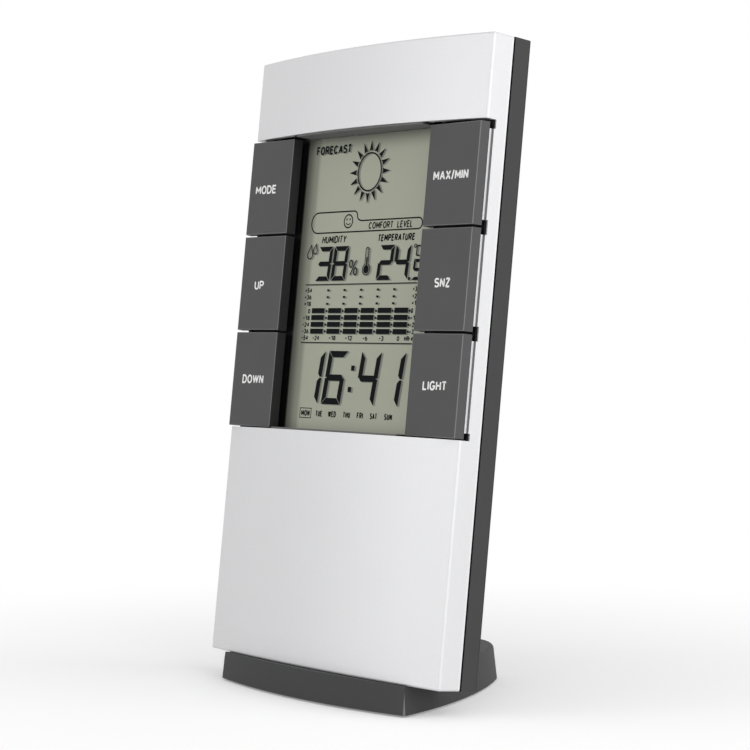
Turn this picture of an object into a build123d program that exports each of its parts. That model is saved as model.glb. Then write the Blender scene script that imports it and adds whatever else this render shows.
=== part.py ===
"""Desk clock with thermometer and hygrometer: a leaning case on a plug-in stand.

The case is drawn upright in its own frame and then leant back onto the stand.
Case frame: x to the right, y into the case from a plane just behind the two
front side edges, z up the case from its lower face.
"""
import math
import os

from build123d import *

# Case, in millimetres and degrees
case_width = 86.0
case_height = 150.0
case_lean = 6.5
front_crown = 4.3
front_edge_lead = 0.4
front_depth = 5.85
rear_depth = 5.8
shell_wall = 1.8
front_edge_round = 0.6
rim_round = 0.5
back_edge_round = 0.8
seam_width = 0.45
seam_depth = 0.8
tongue_reach = 1.1
tongue_wall = 0.9
tongue_root = 1.5
tongue_fit = 0.1

# Opening in the front shell that takes the display and the keys
opening_rise = 15.5
opening_drop = 19.9
lip_inset = 0.65
lip_front = 1.25
lip_ledge = 1.9
lip_end_gap = 1.4
notch_floor = 2.5
notch_skin = 0.4
notch_fit = 0.1

# Keys
key_width = 17.5
key_outer_proud = 1.72
key_inner_proud = 1.9
key_top_gap = 0.75
key_bottom_gap = 0.3
key_row_gap = 0.6
key_edge_round = 0.3
key_side_draft = 0.6
key_face_wall = 1.3
key_side_wall = 1.2
key_skirt_wall = 0.5
key_skirt_end = 0.6
key_inner_end = 0.9
key_outer_step = 2.1
key_travel = 0.8
key_stem_radius = 1.8
key_leg_share = 0.35714
key_leg_width = 5.0
key_leg_thickness = 1.6
key_leg_end = 5.0
key_barb = 0.5
key_fit = 0.2
key_stem_fit = 0.35
key_barb_gap = 0.05

# Display bezel
bezel_front = 2.7
bezel_thickness = 1.0
bezel_side_gap = 2.6
bezel_overlap = 8.5
bezel_flange = 0.35
bezel_flange_inset = 0.5
bezel_flange_gap = 0.6
bezel_bar_front = 1.0
bezel_bar_wall = 2.0
bezel_ring_wall = 1.2
bezel_ring_end = 7.1
bezel_gap = 0.1
stake_side_inset = 13.0
stake_inset = 2.4
stake_radius = 1.2
stake_fit = 0.15
stake_head_radius = 2.0
stake_head = 0.7
stake_root = 0.4

# Liquid crystal display and backlight
glass_side_gap = 0.3
glass_front = 2.2
glass_plate = 1.0
glass_overlap = 2.0
glass_fit = 0.2
contact_ledge = 3.0
polariser_thickness = 0.2
polariser_margin = 0.15
reflector_gap = 0.05
reflector_thickness = 0.2
guide_gap = 0.05
guide_end = 6.9
guide_led_gap = 0.2
led_height = 2.0
led_width = 3.2
led_offset_share = 0.476
led_depth = 1.5
strip_thickness = 2.2
strip_inset = 0.3
strip_end_inset = 1.0

# Circuit board and what it carries
board_front = 7.2
board_thickness = 1.0
board_side_gap = 3.5
board_overlap_top = 2.9
board_overlap_bottom = 6.5
board_tongue_half = 9.0
board_tongue_height = 13.0
post_side_inset = 6.5
post_inset_top = 2.0
post_inset_bottom = 5.5
post_radius = 2.0
post_pilot_radius = 0.8
post_pilot_floor = 0.7
board_screw_fit = 0.05
board_screw_clearance = 0.25
board_screw_tip_gap = 0.3
board_screw_head_radius = 1.7
board_screw_head = 1.0
board_screw_slot = 0.5
switch_size = 6.0
switch_height = 2.5
switch_base = 0.1
plunger_radius = 1.5
plunger_fit = 0.1
plunger_front = 3.6
plunger_sunk = 1.5
blob_radius = 8.0
blob_height = 1.1
chip_length = 3.2
chip_width = 1.6
chip_height = 0.9
chip_spot_shares = ((-0.70, 0.20), (-0.70, 0.32), (-0.45, 0.20), (0.55, 0.26), (0.55, 0.38),
                    (0.72, 0.62), (-0.62, 0.74), (-0.30, 0.82))
humidity_width = 6.0
humidity_height = 5.0
humidity_depth = 1.1
pressure_size = 5.0
pressure_depth = 1.0
sensor_offset = 4.6
sensor_rise = 6.5
bead_rise = 8.0
bead_radius = 1.1
bead_length = 2.8
bead_end_round = 0.5
bead_lead_width = 0.4
bead_lead_length = 4.0
bead_lead_pitch = 1.0
bead_offset = 6.0

# Screws that join the two case halves
boss_side_inset = 6.5
boss_inset = 8.0
boss_radius = 2.6
boss_pilot_floor = 1.0
column_radius = 3.2
screw_radius = 0.95
screw_pilot_fit = 0.05
screw_hole_fit = 0.25
screw_head_radius = 2.0
screw_head_height = 1.5
screw_head_fit = 0.3
screw_seat = 8.2
screw_tip_gap = 0.4
screw_slot_depth = 0.7

# Battery compartment, cells and contacts
cell_radius = 5.25
cell_length = 43.7
cell_nub_radius = 1.9
cell_nub_length = 0.8
cell_edge_round = 0.4
cell_pitch = 11.1
cell_middle_z = 28.6
cell_slack = 0.4
cell_floor_gap = 0.3
cell_door_gap = 0.2
leaf_room = 6.5
well_wall = 1.2
hump_rise = 2.6
hump_margin = 4.3
hump_draft = 30.0
hump_edge_round = 0.8
contact_thickness = 0.4
contact_width = 8.0
contact_gap = 0.05
leaf_half_height = 4.2
leaf_thickness = 0.3
leaf_width = 5.0
tab_thickness = 0.5
tab_height = 3.0
tab_fit = 0.1
lead_radius = 0.55
lead_offset_share = 0.3
lead_step_share = 0.2
lead_front = 0.05
lead_bow = 1.6
lead_bend = 4.0
lead_reach = 2.0

# Battery door
door_side_margin = 2.5
door_margin = 2.4
door_thickness = 1.5
door_fit = 0.25
door_hook_share = 0.5714
door_hook_width = 8.0
door_hook_front = 1.5
door_hook_thickness = 1.2
door_hook_reach = 1.6
door_hook_root = 1.2
door_hook_side_fit = 0.4
door_hook_depth = 1.4
door_hook_end_gap = 0.6
latch_width = 9.0
latch_length = 7.0
latch_slot = 0.8
latch_reach = 1.6
latch_gap = 0.2
latch_notch_fit = 1.0
latch_notch_height = 2.6
latch_rib = 0.6
latch_rib_pitch = 1.6
latch_rib_rise = 0.4
latch_rib_inset = 1.0

# Buzzer and vents
buzzer_radius = 4.8
buzzer_height = 3.0
buzzer_ring_gap = 0.15
buzzer_ring_wall = 0.8
buzzer_ring_height = 2.0
buzzer_lead_pitch = 2.6
buzzer_lead_reach = 4.0
vent_length = 20.0
vent_width = 1.2
vent_pitch = 2.4
vent_drop = 14.6
sound_length = 6.4
sound_width = 1.0
sound_pitch = 2.0

# Stand
stand_front_half = 34.8
stand_length = 60.4
stand_front_bulge = 4.15
stand_side_radius = 120.0
stand_side_angle = 11.0
stand_rear_radius = 15.0
stand_corner_round = 0.6
stand_draft = 6.5
stand_front_height = 6.3
stand_rear_height = 8.6
stand_shoulder_height = 7.4
stand_shoulder_inset = 1.6
stand_shoulder_run = 20.0
stand_top_round = 1.2
stand_wall = 2.0
stand_front_cavity = 3.0
stand_rear_cavity = 6.0
stand_rib = 1.5
stand_rib_pitch = 17.0
case_setback = 7.5
case_seat_gap = 0.05
case_back_gap = 0.3
peg_x = 20.0
peg_width = 10.0
peg_thickness = 2.0
peg_front = 6.9
peg_height = 6.0
peg_root = 1.0
peg_fit = 0.2
peg_lead_in = 0.6
foot_radius = 4.5
foot_thickness = 1.0
foot_proud = 0.5
foot_fit = 0.1
foot_boss_wall = 1.4
foot_front_x = 26.0
foot_front_inset = 10.6
foot_rear_x = 8.0
foot_rear_inset = 10.0
cut_margin = 20.0

# Sizes that follow from the ones above
half_width = case_width / 2
cell_half_stack = cell_pitch / 2 + cell_radius + cell_slack
well_bottom = cell_middle_z - cell_half_stack
well_top = cell_middle_z + cell_half_stack
opening_bottom = well_top + well_wall + opening_rise
opening_top = case_height - opening_drop
opening_height = opening_top - opening_bottom
case_depth = front_depth + rear_depth
front_sag = front_crown - front_edge_lead
front_radius = (half_width ** 2 + front_sag ** 2) / (2 * front_sag)
back_inner = case_depth - shell_wall
board_back = board_front + board_thickness
bezel_back = bezel_front + bezel_thickness
bezel_half_width = half_width - bezel_side_gap
stake_x = half_width - stake_side_inset
bezel_bottom = opening_bottom - bezel_overlap
bezel_top = opening_top + bezel_overlap
key_height = (opening_height - key_top_gap - key_bottom_gap - 2 * key_row_gap) / 3
key_pitch = key_height + key_row_gap
key_leg_offset = key_height * key_leg_share
key_inner_x = half_width - key_width
key_middle_x = (key_inner_x + half_width) / 2
key_rows = tuple(opening_top - key_top_gap - key_height / 2 - row * key_pitch for row in range(3))
key_ceiling = key_face_wall - key_inner_proud
key_skirt_depth = key_outer_proud + key_skirt_end
key_skirt_top_x = half_width - key_skirt_wall - key_side_draft * (1 - key_face_wall / key_skirt_depth)
lip_half = key_height / 2 - lip_end_gap
lip_edges = tuple(z + way * lip_half for z in reversed(key_rows) for way in (-1, 1))
notch_ends = (opening_bottom,) + lip_edges + (opening_top,)
notch_spans = tuple(zip(notch_ends[::2], notch_ends[1::2]))
bezel_flange_half = key_inner_x - bezel_flange_gap
glass_half_width = key_inner_x - glass_side_gap
led_offset = glass_half_width * led_offset_share
view_bottom = opening_bottom + bezel_flange + bezel_gap
view_top = opening_top - bezel_flange - bezel_gap
glass_bottom = view_bottom - contact_ledge
glass_top = view_top + glass_overlap + bezel_gap
glass_middle = glass_front + glass_plate
glass_back = glass_middle + glass_plate
guide_front = glass_back + 2 * reflector_gap + reflector_thickness + guide_gap
guide_top = glass_top - led_height - 2 * guide_led_gap
board_bottom = opening_bottom - board_overlap_bottom
board_top = opening_top + board_overlap_top
board_half_width = half_width - board_side_gap
post_x = half_width - post_side_inset
post_top_z = board_top - post_inset_top
post_bottom_z = board_bottom + post_inset_bottom
boss_x = half_width - boss_side_inset
boss_rows = (boss_inset, case_height - boss_inset)
vent_bottom = case_height - vent_drop
buzzer_x = -(board_tongue_half + boss_x - column_radius) / 2
buzzer_z = (board_top + case_height - shell_wall) / 2
hump_back = case_depth + hump_rise
door_inner = hump_back - door_thickness
cell_y = door_inner - cell_door_gap - cell_radius
well_floor = cell_y - cell_radius - cell_floor_gap
well_half_length = (cell_length + cell_nub_length + leaf_room) / 2
door_half_width = well_half_length + door_side_margin
door_hook_x = door_half_width * door_hook_share
lead_room = half_width - shell_wall - tongue_fit - tongue_wall - well_half_length - well_wall
lead_offset = lead_room * lead_offset_share
lead_step = lead_room * lead_step_share
door_bottom = well_bottom - door_margin
door_top = well_top + door_margin
door_axis_y = hump_back - door_thickness / 2
door_axis_z = door_bottom + door_thickness / 2
stand_front_y = -stand_length / 2
stand_rear_y = stand_length / 2
case_origin_y = stand_front_y + case_setback
case_origin_z = foot_proud + stand_front_height
seat = Pos(0, case_origin_y, case_origin_z) * Rot(X=-case_lean)


def block(x0, x1, y0, y1, z0, z1):
    """Box between two corners."""
    middle = Pos((x0 + x1) / 2, (y0 + y1) / 2, (z0 + z1) / 2)
    return middle * Box(abs(x1 - x0), abs(y1 - y0), abs(z1 - z0))


def rod(x, z, y0, y1, radius):
    """Cylinder that runs into the case from y0 to y1."""
    return Pos(x, (y0 + y1) / 2, z) * Rot(X=90) * Cylinder(radius, abs(y1 - y0))


def front_y(x, inset):
    """Depth of the crowned front face at x, set back by inset."""
    return front_radius - front_crown - math.sqrt((front_radius - inset) ** 2 - x ** 2)


def crowned_prism(inset, rear_y, z0, z1):
    """Upright prism with the crowned front, straight sides and a flat rear."""
    half = half_width - inset
    side_y = front_y(half, inset)
    arc = ThreePointArc((-half, side_y), (0, inset - front_crown), (half, side_y))
    walls = Polyline((half, side_y), (half, rear_y), (-half, rear_y), (-half, side_y))
    return Pos(0, 0, z0) * extrude(make_face(arc.edges() + walls.edges()), z1 - z0)


def slot_row(x, z_low, count, length, width, pitch):
    """Row of upright-stacked slots that run through the rear wall."""
    cut = None
    for index in range(count):
        face = Plane.XZ * Pos(x, z_low + index * pitch) * SlotOverall(length, width)
        piece = Pos(0, back_inner - shell_wall, 0) * extrude(face, -3 * shell_wall)
        cut = piece if cut is None else cut + piece
    return cut


def front_shell():
    """Silver front half with the opening, side lips and notches, screw bosses and stakes."""
    body = crowned_prism(0, front_depth, 0, case_height)
    corners = body.edges().filter_by(Axis.Z).sort_by(Axis.Y)[:2]
    body = fillet(corners, front_edge_round)
    rims = [e for f in (body.faces().sort_by(Axis.Z)[0], body.faces().sort_by(Axis.Z)[-1])
            for e in f.edges() if e.center().Y < front_depth - rim_round]
    body = fillet(rims, rim_round)
    body -= crowned_prism(shell_wall, front_depth + cut_margin, shell_wall, case_height - shell_wall)
    body -= block(-case_width, case_width, -cut_margin, lip_ledge, opening_bottom, opening_top)
    for side in (-1, 1):
        for z in key_rows:
            body += block(side * (half_width - shell_wall), side * (half_width - lip_inset), lip_front,
                          lip_ledge + rim_round, z - lip_half, z + lip_half)
        start = side * (half_width - 2 * shell_wall)
        for low, high in notch_spans:
            body -= block(start, side * case_width, lip_front, notch_floor, low, high)
            body -= block(start, side * (half_width - notch_skin), lip_front, case_depth, low, high)
        for z in boss_rows:
            start = front_y(boss_x, shell_wall) - stake_root
            body += rod(side * boss_x, z, start, front_depth, boss_radius)
            body -= rod(side * boss_x, z, boss_pilot_floor, front_depth, screw_radius + screw_pilot_fit)
        for z in (bezel_bottom + stake_inset, bezel_top - stake_inset):
            start = front_y(stake_x, shell_wall) - stake_root
            body += rod(side * stake_x, z, start, bezel_back, stake_radius)
            body += rod(side * stake_x, z, bezel_back, bezel_back + stake_head, stake_head_radius)
    return body


def rear_housing():
    """Dark rear half: tongue, screw columns, battery well, vents and stand sockets."""
    body = block(-half_width, half_width, front_depth, case_depth, 0, case_height)
    back = body.faces().sort_by(Axis.Y)[-1]
    body = fillet(back.edges(), back_edge_round)
    inner_x = half_width - shell_wall
    low = shell_wall
    high = case_height - shell_wall
    body -= block(-inner_x, inner_x, front_depth - cut_margin, back_inner, low, high)
    groove = block(-case_width, case_width, front_depth, front_depth + seam_width,
                   -case_width, case_height + case_width)
    core = block(seam_depth - half_width, half_width - seam_depth, front_depth - seam_width,
                 front_depth + 2 * seam_width, seam_depth, case_height - seam_depth)
    body -= groove - core
    ring_x = inner_x - tongue_fit
    ring = block(-ring_x, ring_x, front_depth - tongue_reach, front_depth + tongue_root,
                 low + tongue_fit, high - tongue_fit)
    ring += block(-inner_x - tongue_fit, inner_x + tongue_fit, front_depth, front_depth + tongue_root,
                  low - tongue_fit, high + tongue_fit)
    ring -= block(tongue_wall - ring_x, ring_x - tongue_wall, -cut_margin, case_depth,
                  low + tongue_fit + tongue_wall, high - tongue_fit - tongue_wall)
    body += ring
    hump_face = Plane.XZ * Pos(0, cell_middle_z) * Rectangle(
        2 * (door_half_width + hump_margin), door_top - door_bottom + 2 * hump_margin)
    hump = extrude(hump_face, -hump_rise, taper=hump_draft)
    hump = fillet(hump.faces().sort_by(Axis.Y)[-1].edges(), hump_edge_round)
    body += Pos(0, case_depth, 0) * hump
    body += block(-well_half_length - well_wall, well_half_length + well_wall, well_floor - well_wall,
                  case_depth, well_bottom - well_wall, well_top + well_wall)
    body -= block(-well_half_length, well_half_length, well_floor, hump_back + cut_margin,
                  well_bottom, well_top)
    body -= block(-door_half_width - door_fit, door_half_width + door_fit, door_inner,
                  hump_back + cut_margin, door_bottom - door_fit, door_top + door_fit)
    notch = latch_width / 2 + latch_notch_fit
    body -= block(-notch, notch, door_inner, hump_back + cut_margin, door_top, door_top + latch_notch_height)
    for side in (-1, 1):
        half = door_hook_width / 2 + door_hook_side_fit
        middle = side * door_hook_x
        body -= block(middle - half, middle + half, door_inner - door_hook_front - 2 * door_hook_depth,
                      door_inner, door_bottom - door_hook_reach - door_hook_end_gap, well_bottom + well_wall)
        for z in boss_rows:
            body += rod(side * boss_x, z, front_depth, back_inner + shell_wall / 2, column_radius)
            body -= rod(side * boss_x, z, front_depth - tongue_reach, case_depth, screw_radius + screw_hole_fit)
            body -= rod(side * boss_x, z, screw_seat, case_depth + cut_margin,
                        screw_head_radius + screw_head_fit)
        peg_half = peg_width / 2 + peg_fit
        body -= block(side * peg_x - peg_half, side * peg_x + peg_half, peg_front - peg_fit,
                      peg_front + peg_thickness + peg_fit, -cut_margin, 2 * shell_wall)
    for z in contact_rows():
        body -= block(-well_half_length - 2 * well_wall, -well_half_length, cell_y - tab_thickness / 2 - tab_fit,
                      cell_y + tab_thickness / 2 + tab_fit, z - tab_height / 2 - tab_fit,
                      z + tab_height / 2 + tab_fit)
    ring_in = buzzer_radius + buzzer_ring_gap
    ring_out = ring_in + buzzer_ring_wall
    body += (rod(buzzer_x, buzzer_z, back_inner - buzzer_ring_height, back_inner + rim_round, ring_out)
             - rod(buzzer_x, buzzer_z, back_inner - cut_margin, back_inner, ring_in))
    body -= slot_row(buzzer_x, buzzer_z - 1.5 * sound_pitch, 4, sound_length, sound_width, sound_pitch)
    body -= slot_row(0, vent_bottom, 5, vent_length, vent_width, vent_pitch)
    return body


def display_bezel():
    """Inner frame: key floor, display ring, recess flanges, notch tabs and board posts."""
    body = block(-bezel_half_width, bezel_half_width, bezel_front, bezel_back, bezel_bottom, bezel_top)
    gap_x = glass_half_width + glass_fit
    ring_x = gap_x + bezel_ring_wall
    ring_low = glass_bottom - glass_fit
    ring_high = glass_top + glass_fit
    body += block(-ring_x, ring_x, bezel_front, bezel_ring_end, ring_low - bezel_ring_wall,
                  ring_high + bezel_ring_wall)
    body += block(-bezel_flange_half, bezel_flange_half, bezel_bar_front, bezel_back,
                  ring_high, ring_high + bezel_bar_wall)
    body += block(-bezel_flange_half, bezel_flange_half, bezel_bar_front, bezel_back,
                  ring_low - bezel_bar_wall, ring_low)
    body -= block(-gap_x, gap_x, glass_front - bezel_gap, bezel_ring_end, ring_low, ring_high)
    body -= block(-gap_x, gap_x, -cut_margin, glass_front, view_bottom, view_top)
    bar_end = glass_front - bezel_gap
    flange = crowned_prism(bezel_flange_inset, bar_end, opening_bottom + bezel_gap, opening_top - bezel_gap)
    flange &= block(-bezel_flange_half, bezel_flange_half, -cut_margin, cut_margin, 0, case_height)
    flange -= block(-case_width, case_width, -cut_margin, cut_margin, view_bottom, view_top)
    body += flange
    body += block(-bezel_flange_half, bezel_flange_half, bezel_bar_front, bar_end, view_top,
                  ring_high + bezel_bar_wall)
    body += block(-bezel_flange_half, bezel_flange_half, bezel_bar_front, bar_end,
                  ring_low - bezel_bar_wall, view_bottom)
    for side in (-1, 1):
        for z in key_rows:
            body -= rod(side * key_middle_x, z, 0, board_front, key_stem_radius + key_stem_fit)
            for step in (-key_leg_offset, key_leg_offset):
                half_x = key_leg_width / 2 + key_fit
                half_z = key_leg_thickness / 2 + key_fit
                body -= block(side * key_middle_x - half_x, side * key_middle_x + half_x, 0, board_front,
                              z + step - half_z, z + step + half_z)
        tab_end = side * (half_width - notch_skin - notch_fit)
        for low, high in notch_spans:
            body += block(side * stake_x, tab_end, bezel_front, bezel_back, low + notch_fit, high - notch_fit)
            body += block(side * (half_width - shell_wall), tab_end, lip_ledge + notch_fit, bezel_back,
                          low + notch_fit, high - notch_fit)
        for z in (post_bottom_z, post_top_z):
            body += rod(side * post_x, z, bezel_front, board_front, post_radius)
            body -= rod(side * post_x, z, bezel_back + post_pilot_floor, board_front, post_pilot_radius)
        for z in (bezel_bottom + stake_inset, bezel_top - stake_inset):
            body -= rod(side * stake_x, z, 0, board_front, stake_radius + stake_fit)
    return body


def key(side, z):
    """One key: tilted face, drafted outer skirt, stem and two barbed legs."""
    low = z - key_height / 2
    outline = Polyline((key_inner_x, key_inner_end), (key_inner_x, -key_inner_proud),
                       (half_width - key_side_draft, -key_outer_proud), (half_width, key_skirt_end),
                       (half_width - key_outer_step, key_skirt_end),
                       (half_width - key_outer_step, key_inner_end), close=True)
    body = extrude(make_face(outline), key_height)
    face = body.faces().sort_by(Axis.Y)[0]
    body = fillet(face.edges(), key_edge_round)
    hollow = Polyline((key_inner_x + key_side_wall, key_inner_end + cut_margin),
                      (key_inner_x + key_side_wall, key_face_wall - key_inner_proud),
                      (key_skirt_top_x, key_face_wall - key_outer_proud),
                      (half_width - key_skirt_wall, key_skirt_end),
                      (half_width - key_skirt_wall, key_inner_end + cut_margin), close=True)
    cavity = extrude(make_face(hollow), key_height - 2 * key_side_wall)
    body = Pos(0, 0, low) * (body - Pos(0, 0, key_side_wall) * cavity)
    body += rod(key_middle_x, z, key_ceiling, plunger_front, key_stem_radius)
    for way in (-1, 1):
        leg_z = z + way * key_leg_offset
        outer_z = leg_z + way * key_leg_thickness / 2
        body += block(key_middle_x - key_leg_width / 2, key_middle_x + key_leg_width / 2, key_ceiling,
                      key_leg_end, leg_z - key_leg_thickness / 2, leg_z + key_leg_thickness / 2)
        catch = bezel_back + key_barb_gap
        reach = outer_z + way * (key_fit + key_barb)
        barb = make_face(Plane.YZ * Polyline((catch, leg_z), (catch, reach), (key_leg_end, outer_z),
                                             (key_leg_end, leg_z), close=True))
        body += Pos(key_middle_x, 0, 0) * extrude(barb, key_leg_width / 2, both=True)
    return body if side > 0 else mirror(body, about=Plane.YZ)


def plunger(side, z):
    """Plunger of one switch."""
    return rod(side * key_middle_x, z, plunger_front, board_front - switch_height + plunger_sunk,
               plunger_radius)


def switch_housings():
    """The six switch housings on the board, each with a blind bore."""
    pieces = []
    half = switch_size / 2
    for side in (-1, 1):
        for z in key_rows:
            x = side * key_middle_x
            housing = block(x - half, x + half, board_front - switch_height, board_front, z - half, z + half)
            housing -= rod(x, z, board_front - 2 * switch_height, board_front - switch_base,
                           plunger_radius + plunger_fit)
            pieces.append(housing)
    return Compound(children=pieces)


def lcd_glass():
    """Two glass plates; the rear one stops short above the contact ledge."""
    front = block(-glass_half_width, glass_half_width, glass_front, glass_middle, glass_bottom, glass_top)
    rear = block(-glass_half_width, glass_half_width, glass_middle, glass_back,
                 glass_bottom + contact_ledge, glass_top)
    return front + rear


def front_polariser():
    """Film on the front of the glass, inside the visible opening."""
    half = glass_half_width - polariser_margin
    return block(-half, half, glass_front - polariser_thickness, glass_front,
                 view_bottom + polariser_margin, view_top - polariser_margin)


def reflector_film():
    """Film between the glass and the light guide."""
    start = glass_back + reflector_gap
    return block(-glass_half_width, glass_half_width, start, start + reflector_thickness,
                 glass_bottom + contact_ledge, guide_top)


def light_guide():
    """Plate that spreads the backlight."""
    return block(-glass_half_width, glass_half_width, guide_front, guide_end,
                 glass_bottom + contact_ledge, guide_top)


def backlight_leds():
    """Two lamps at the upper edge of the light guide."""
    low = guide_top + guide_led_gap
    lamps = [block(x - led_width / 2, x + led_width / 2, board_front - led_depth, board_front,
                   low, low + led_height) for x in (-led_offset, led_offset)]
    return Compound(children=lamps)


def contact_strip():
    """Elastic strip that joins the glass to the board."""
    half = glass_half_width - strip_end_inset
    low = glass_bottom + strip_inset
    return block(-half, half, glass_middle, board_front, low, low + strip_thickness)


def circuit_board():
    """Board behind the display with a sensor tongue at its upper edge."""
    body = block(-board_half_width, board_half_width, board_front, board_back, board_bottom, board_top)
    body += block(-board_tongue_half, board_tongue_half, board_front, board_back, board_top,
                  board_top + board_tongue_height)
    for side in (-1, 1):
        for z in (post_bottom_z, post_top_z):
            body -= rod(side * post_x, z, 0, case_depth, post_pilot_radius + board_screw_clearance)
    return body


def pan_screw(x, z, seat_y, tip_y, radius, head_radius, head_height, slot):
    """Screw with a flat slotted head, its point towards the front."""
    body = rod(x, z, tip_y, seat_y, radius)
    body += rod(x, z, seat_y, seat_y + head_height, head_radius)
    body -= block(x - head_radius, x + head_radius, seat_y + head_height - slot, seat_y + head_height,
                  z - slot / 2, z + slot / 2)
    return body


def board_screws():
    """Four screws that hold the board on the bezel posts."""
    tip = bezel_back + post_pilot_floor + board_screw_tip_gap
    radius = post_pilot_radius - board_screw_fit
    return Compound(children=[
        pan_screw(side * post_x, z, board_back, tip, radius, board_screw_head_radius,
                  board_screw_head, board_screw_slot)
        for side in (-1, 1) for z in (post_bottom_z, post_top_z)])


def case_screws():
    """Four screws that join the case halves from behind."""
    tip = boss_pilot_floor + screw_tip_gap
    return Compound(children=[
        pan_screw(side * boss_x, z, screw_seat, tip, screw_radius, screw_head_radius,
                  screw_head_height, screw_slot_depth)
        for side in (-1, 1) for z in boss_rows])


def controller_blob():
    """Low dome of resin over the controller die: the cap of a large ball."""
    middle_z = (board_bottom + board_top) / 2
    ball = (blob_radius ** 2 + blob_height ** 2) / (2 * blob_height)
    cap = Pos(0, board_back + blob_height - ball, middle_z) * Sphere(ball)
    cap &= block(-2 * blob_radius, 2 * blob_radius, board_back, board_back + 2 * blob_height,
                 middle_z - 2 * blob_radius, middle_z + 2 * blob_radius)
    return cap


def chip_components():
    """Small chips on the back of the board, placed by shares of its size."""
    pieces = []
    for share_x, share_z in chip_spot_shares:
        x = share_x * board_half_width
        z = board_bottom + share_z * (board_top - board_bottom)
        pieces.append(block(x - chip_length / 2, x + chip_length / 2, board_back, board_back + chip_height,
                            z - chip_width / 2, z + chip_width / 2))
    return Compound(children=pieces)


def humidity_sensor():
    """Humidity sensor behind the vents."""
    z = board_top + sensor_rise
    return block(-sensor_offset - humidity_width / 2, -sensor_offset + humidity_width / 2, board_back,
                 board_back + humidity_depth, z - humidity_height / 2, z + humidity_height / 2)


def pressure_sensor():
    """Pressure sensor behind the vents."""
    z = board_top + sensor_rise
    return block(sensor_offset - pressure_size / 2, sensor_offset + pressure_size / 2, board_back,
                 board_back + pressure_depth, z - pressure_size / 2, z + pressure_size / 2)


def thermistor():
    """Bead on two leads that stand off the front of the sensor tongue."""
    z = board_top + bead_rise
    y = board_front - bead_lead_length
    bead = rod(bead_offset, z, y - bead_length, y, bead_radius)
    body = fillet(bead.edges().filter_by(GeomType.CIRCLE), bead_end_round)
    half = bead_lead_width / 2
    for x in (bead_offset - bead_lead_pitch / 2, bead_offset + bead_lead_pitch / 2):
        body += block(x - half, x + half, y - bead_end_round, board_front, z - half, z + half)
    return body


def contact_rows():
    """Heights of the lower and the upper cell."""
    return (cell_middle_z - cell_pitch / 2, cell_middle_z + cell_pitch / 2)


def one_cell(z, way):
    """Cell along x with its positive nub towards way."""
    tip = well_half_length - contact_thickness - contact_gap
    start = tip - cell_nub_length - cell_length
    can = Pos(start + cell_length / 2, 0, 0) * Rot(Y=90) * Cylinder(cell_radius, cell_length)
    can = fillet(can.edges().filter_by(GeomType.CIRCLE), cell_edge_round)
    can += Pos(tip - cell_nub_length / 2, 0, 0) * Rot(Y=90) * Cylinder(cell_nub_radius, cell_nub_length)
    if way < 0:
        can = mirror(can, about=Plane.YZ)
    return Pos(0, cell_y, z) * can


def battery_cells():
    """Two cells side by side, turned opposite ways."""
    low, high = contact_rows()
    return Compound(children=[one_cell(low, 1), one_cell(high, -1)])


def contact_plate(z):
    """Flat plate on the left end wall of the well, in front of one cell."""
    wall = -well_half_length
    return block(wall, wall + contact_thickness, cell_y - contact_width / 2, cell_y + contact_width / 2,
                 z - contact_width / 2, z + contact_width / 2)


def contact_leaf(z):
    """Bowed leaf that bears on the flat end of a cell."""
    root = -well_half_length + contact_thickness
    crest = contact_thickness + contact_gap + cell_nub_length + cell_length - well_half_length
    reach = -crest - contact_gap
    outer = ThreePointArc((root, -leaf_half_height), (reach, 0), (root, leaf_half_height))
    inner = ThreePointArc((root, leaf_half_height - leaf_thickness), (reach - leaf_thickness, 0),
                          (root, leaf_thickness - leaf_half_height))
    ends = Line((root, leaf_half_height), (root, leaf_half_height - leaf_thickness)).edges()
    ends += Line((root, leaf_thickness - leaf_half_height), (root, -leaf_half_height)).edges()
    strip = make_face(outer.edges() + inner.edges() + ends)
    return Pos(0, cell_y, z) * Rot(X=90) * extrude(strip, leaf_width / 2, both=True)


def contact_tab(z, lane):
    """Solder tab that leaves the well through a slit in its end wall."""
    outer = -well_half_length - well_wall - lead_offset - lane * lead_step
    return block(outer, -well_half_length + contact_thickness / 2, cell_y - tab_thickness / 2,
                 cell_y + tab_thickness / 2, z - tab_height / 2, z + tab_height / 2)


def terminal_contacts():
    """Leaf contact of the lower cell and plate contact of the upper cell."""
    low, high = contact_rows()
    negative = contact_plate(low) + contact_leaf(low) + contact_tab(low, 1)
    positive = contact_plate(high) + contact_tab(high, 0)
    return Compound(children=[negative, positive])


def bridge_contact():
    """Plate at the right end that joins the two cells in series."""
    low, high = contact_rows()
    body = contact_plate(low) + contact_plate(high) + contact_leaf(high)
    wall = -well_half_length
    body += block(wall, wall + contact_thickness, cell_y - contact_width / 2, cell_y + contact_width / 2,
                  low, high)
    return mirror(body, about=Plane.YZ)


def wire(points):
    """Round insulated wire along a path with rounded bends."""
    path = FilletPolyline(*points, radius=lead_bend)
    section = Plane(origin=path @ 0, z_dir=path % 0) * Circle(lead_radius)
    return sweep(section, path)


def battery_leads():
    """Two wires from the solder tabs to the lower edge of the board."""
    low, high = contact_rows()
    pieces = []
    board_lane = board_front - lead_radius - lead_front
    tab_lane = cell_y - tab_thickness / 2 - lead_radius
    for z, lane in ((low, 1), (high, 0)):
        x = -well_half_length - well_wall - lead_offset - lane * lead_step + lead_radius
        bow = x - lead_bow
        span = board_bottom - z
        pieces.append(wire([(x, tab_lane, z), (bow, tab_lane, z + span / 2),
                            (x, board_lane, board_bottom + lead_reach)]))
    return Compound(children=pieces)


def buzzer():
    """Flat sounder in the ring on the rear wall."""
    return rod(buzzer_x, buzzer_z, back_inner - buzzer_height, back_inner, buzzer_radius)


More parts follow.
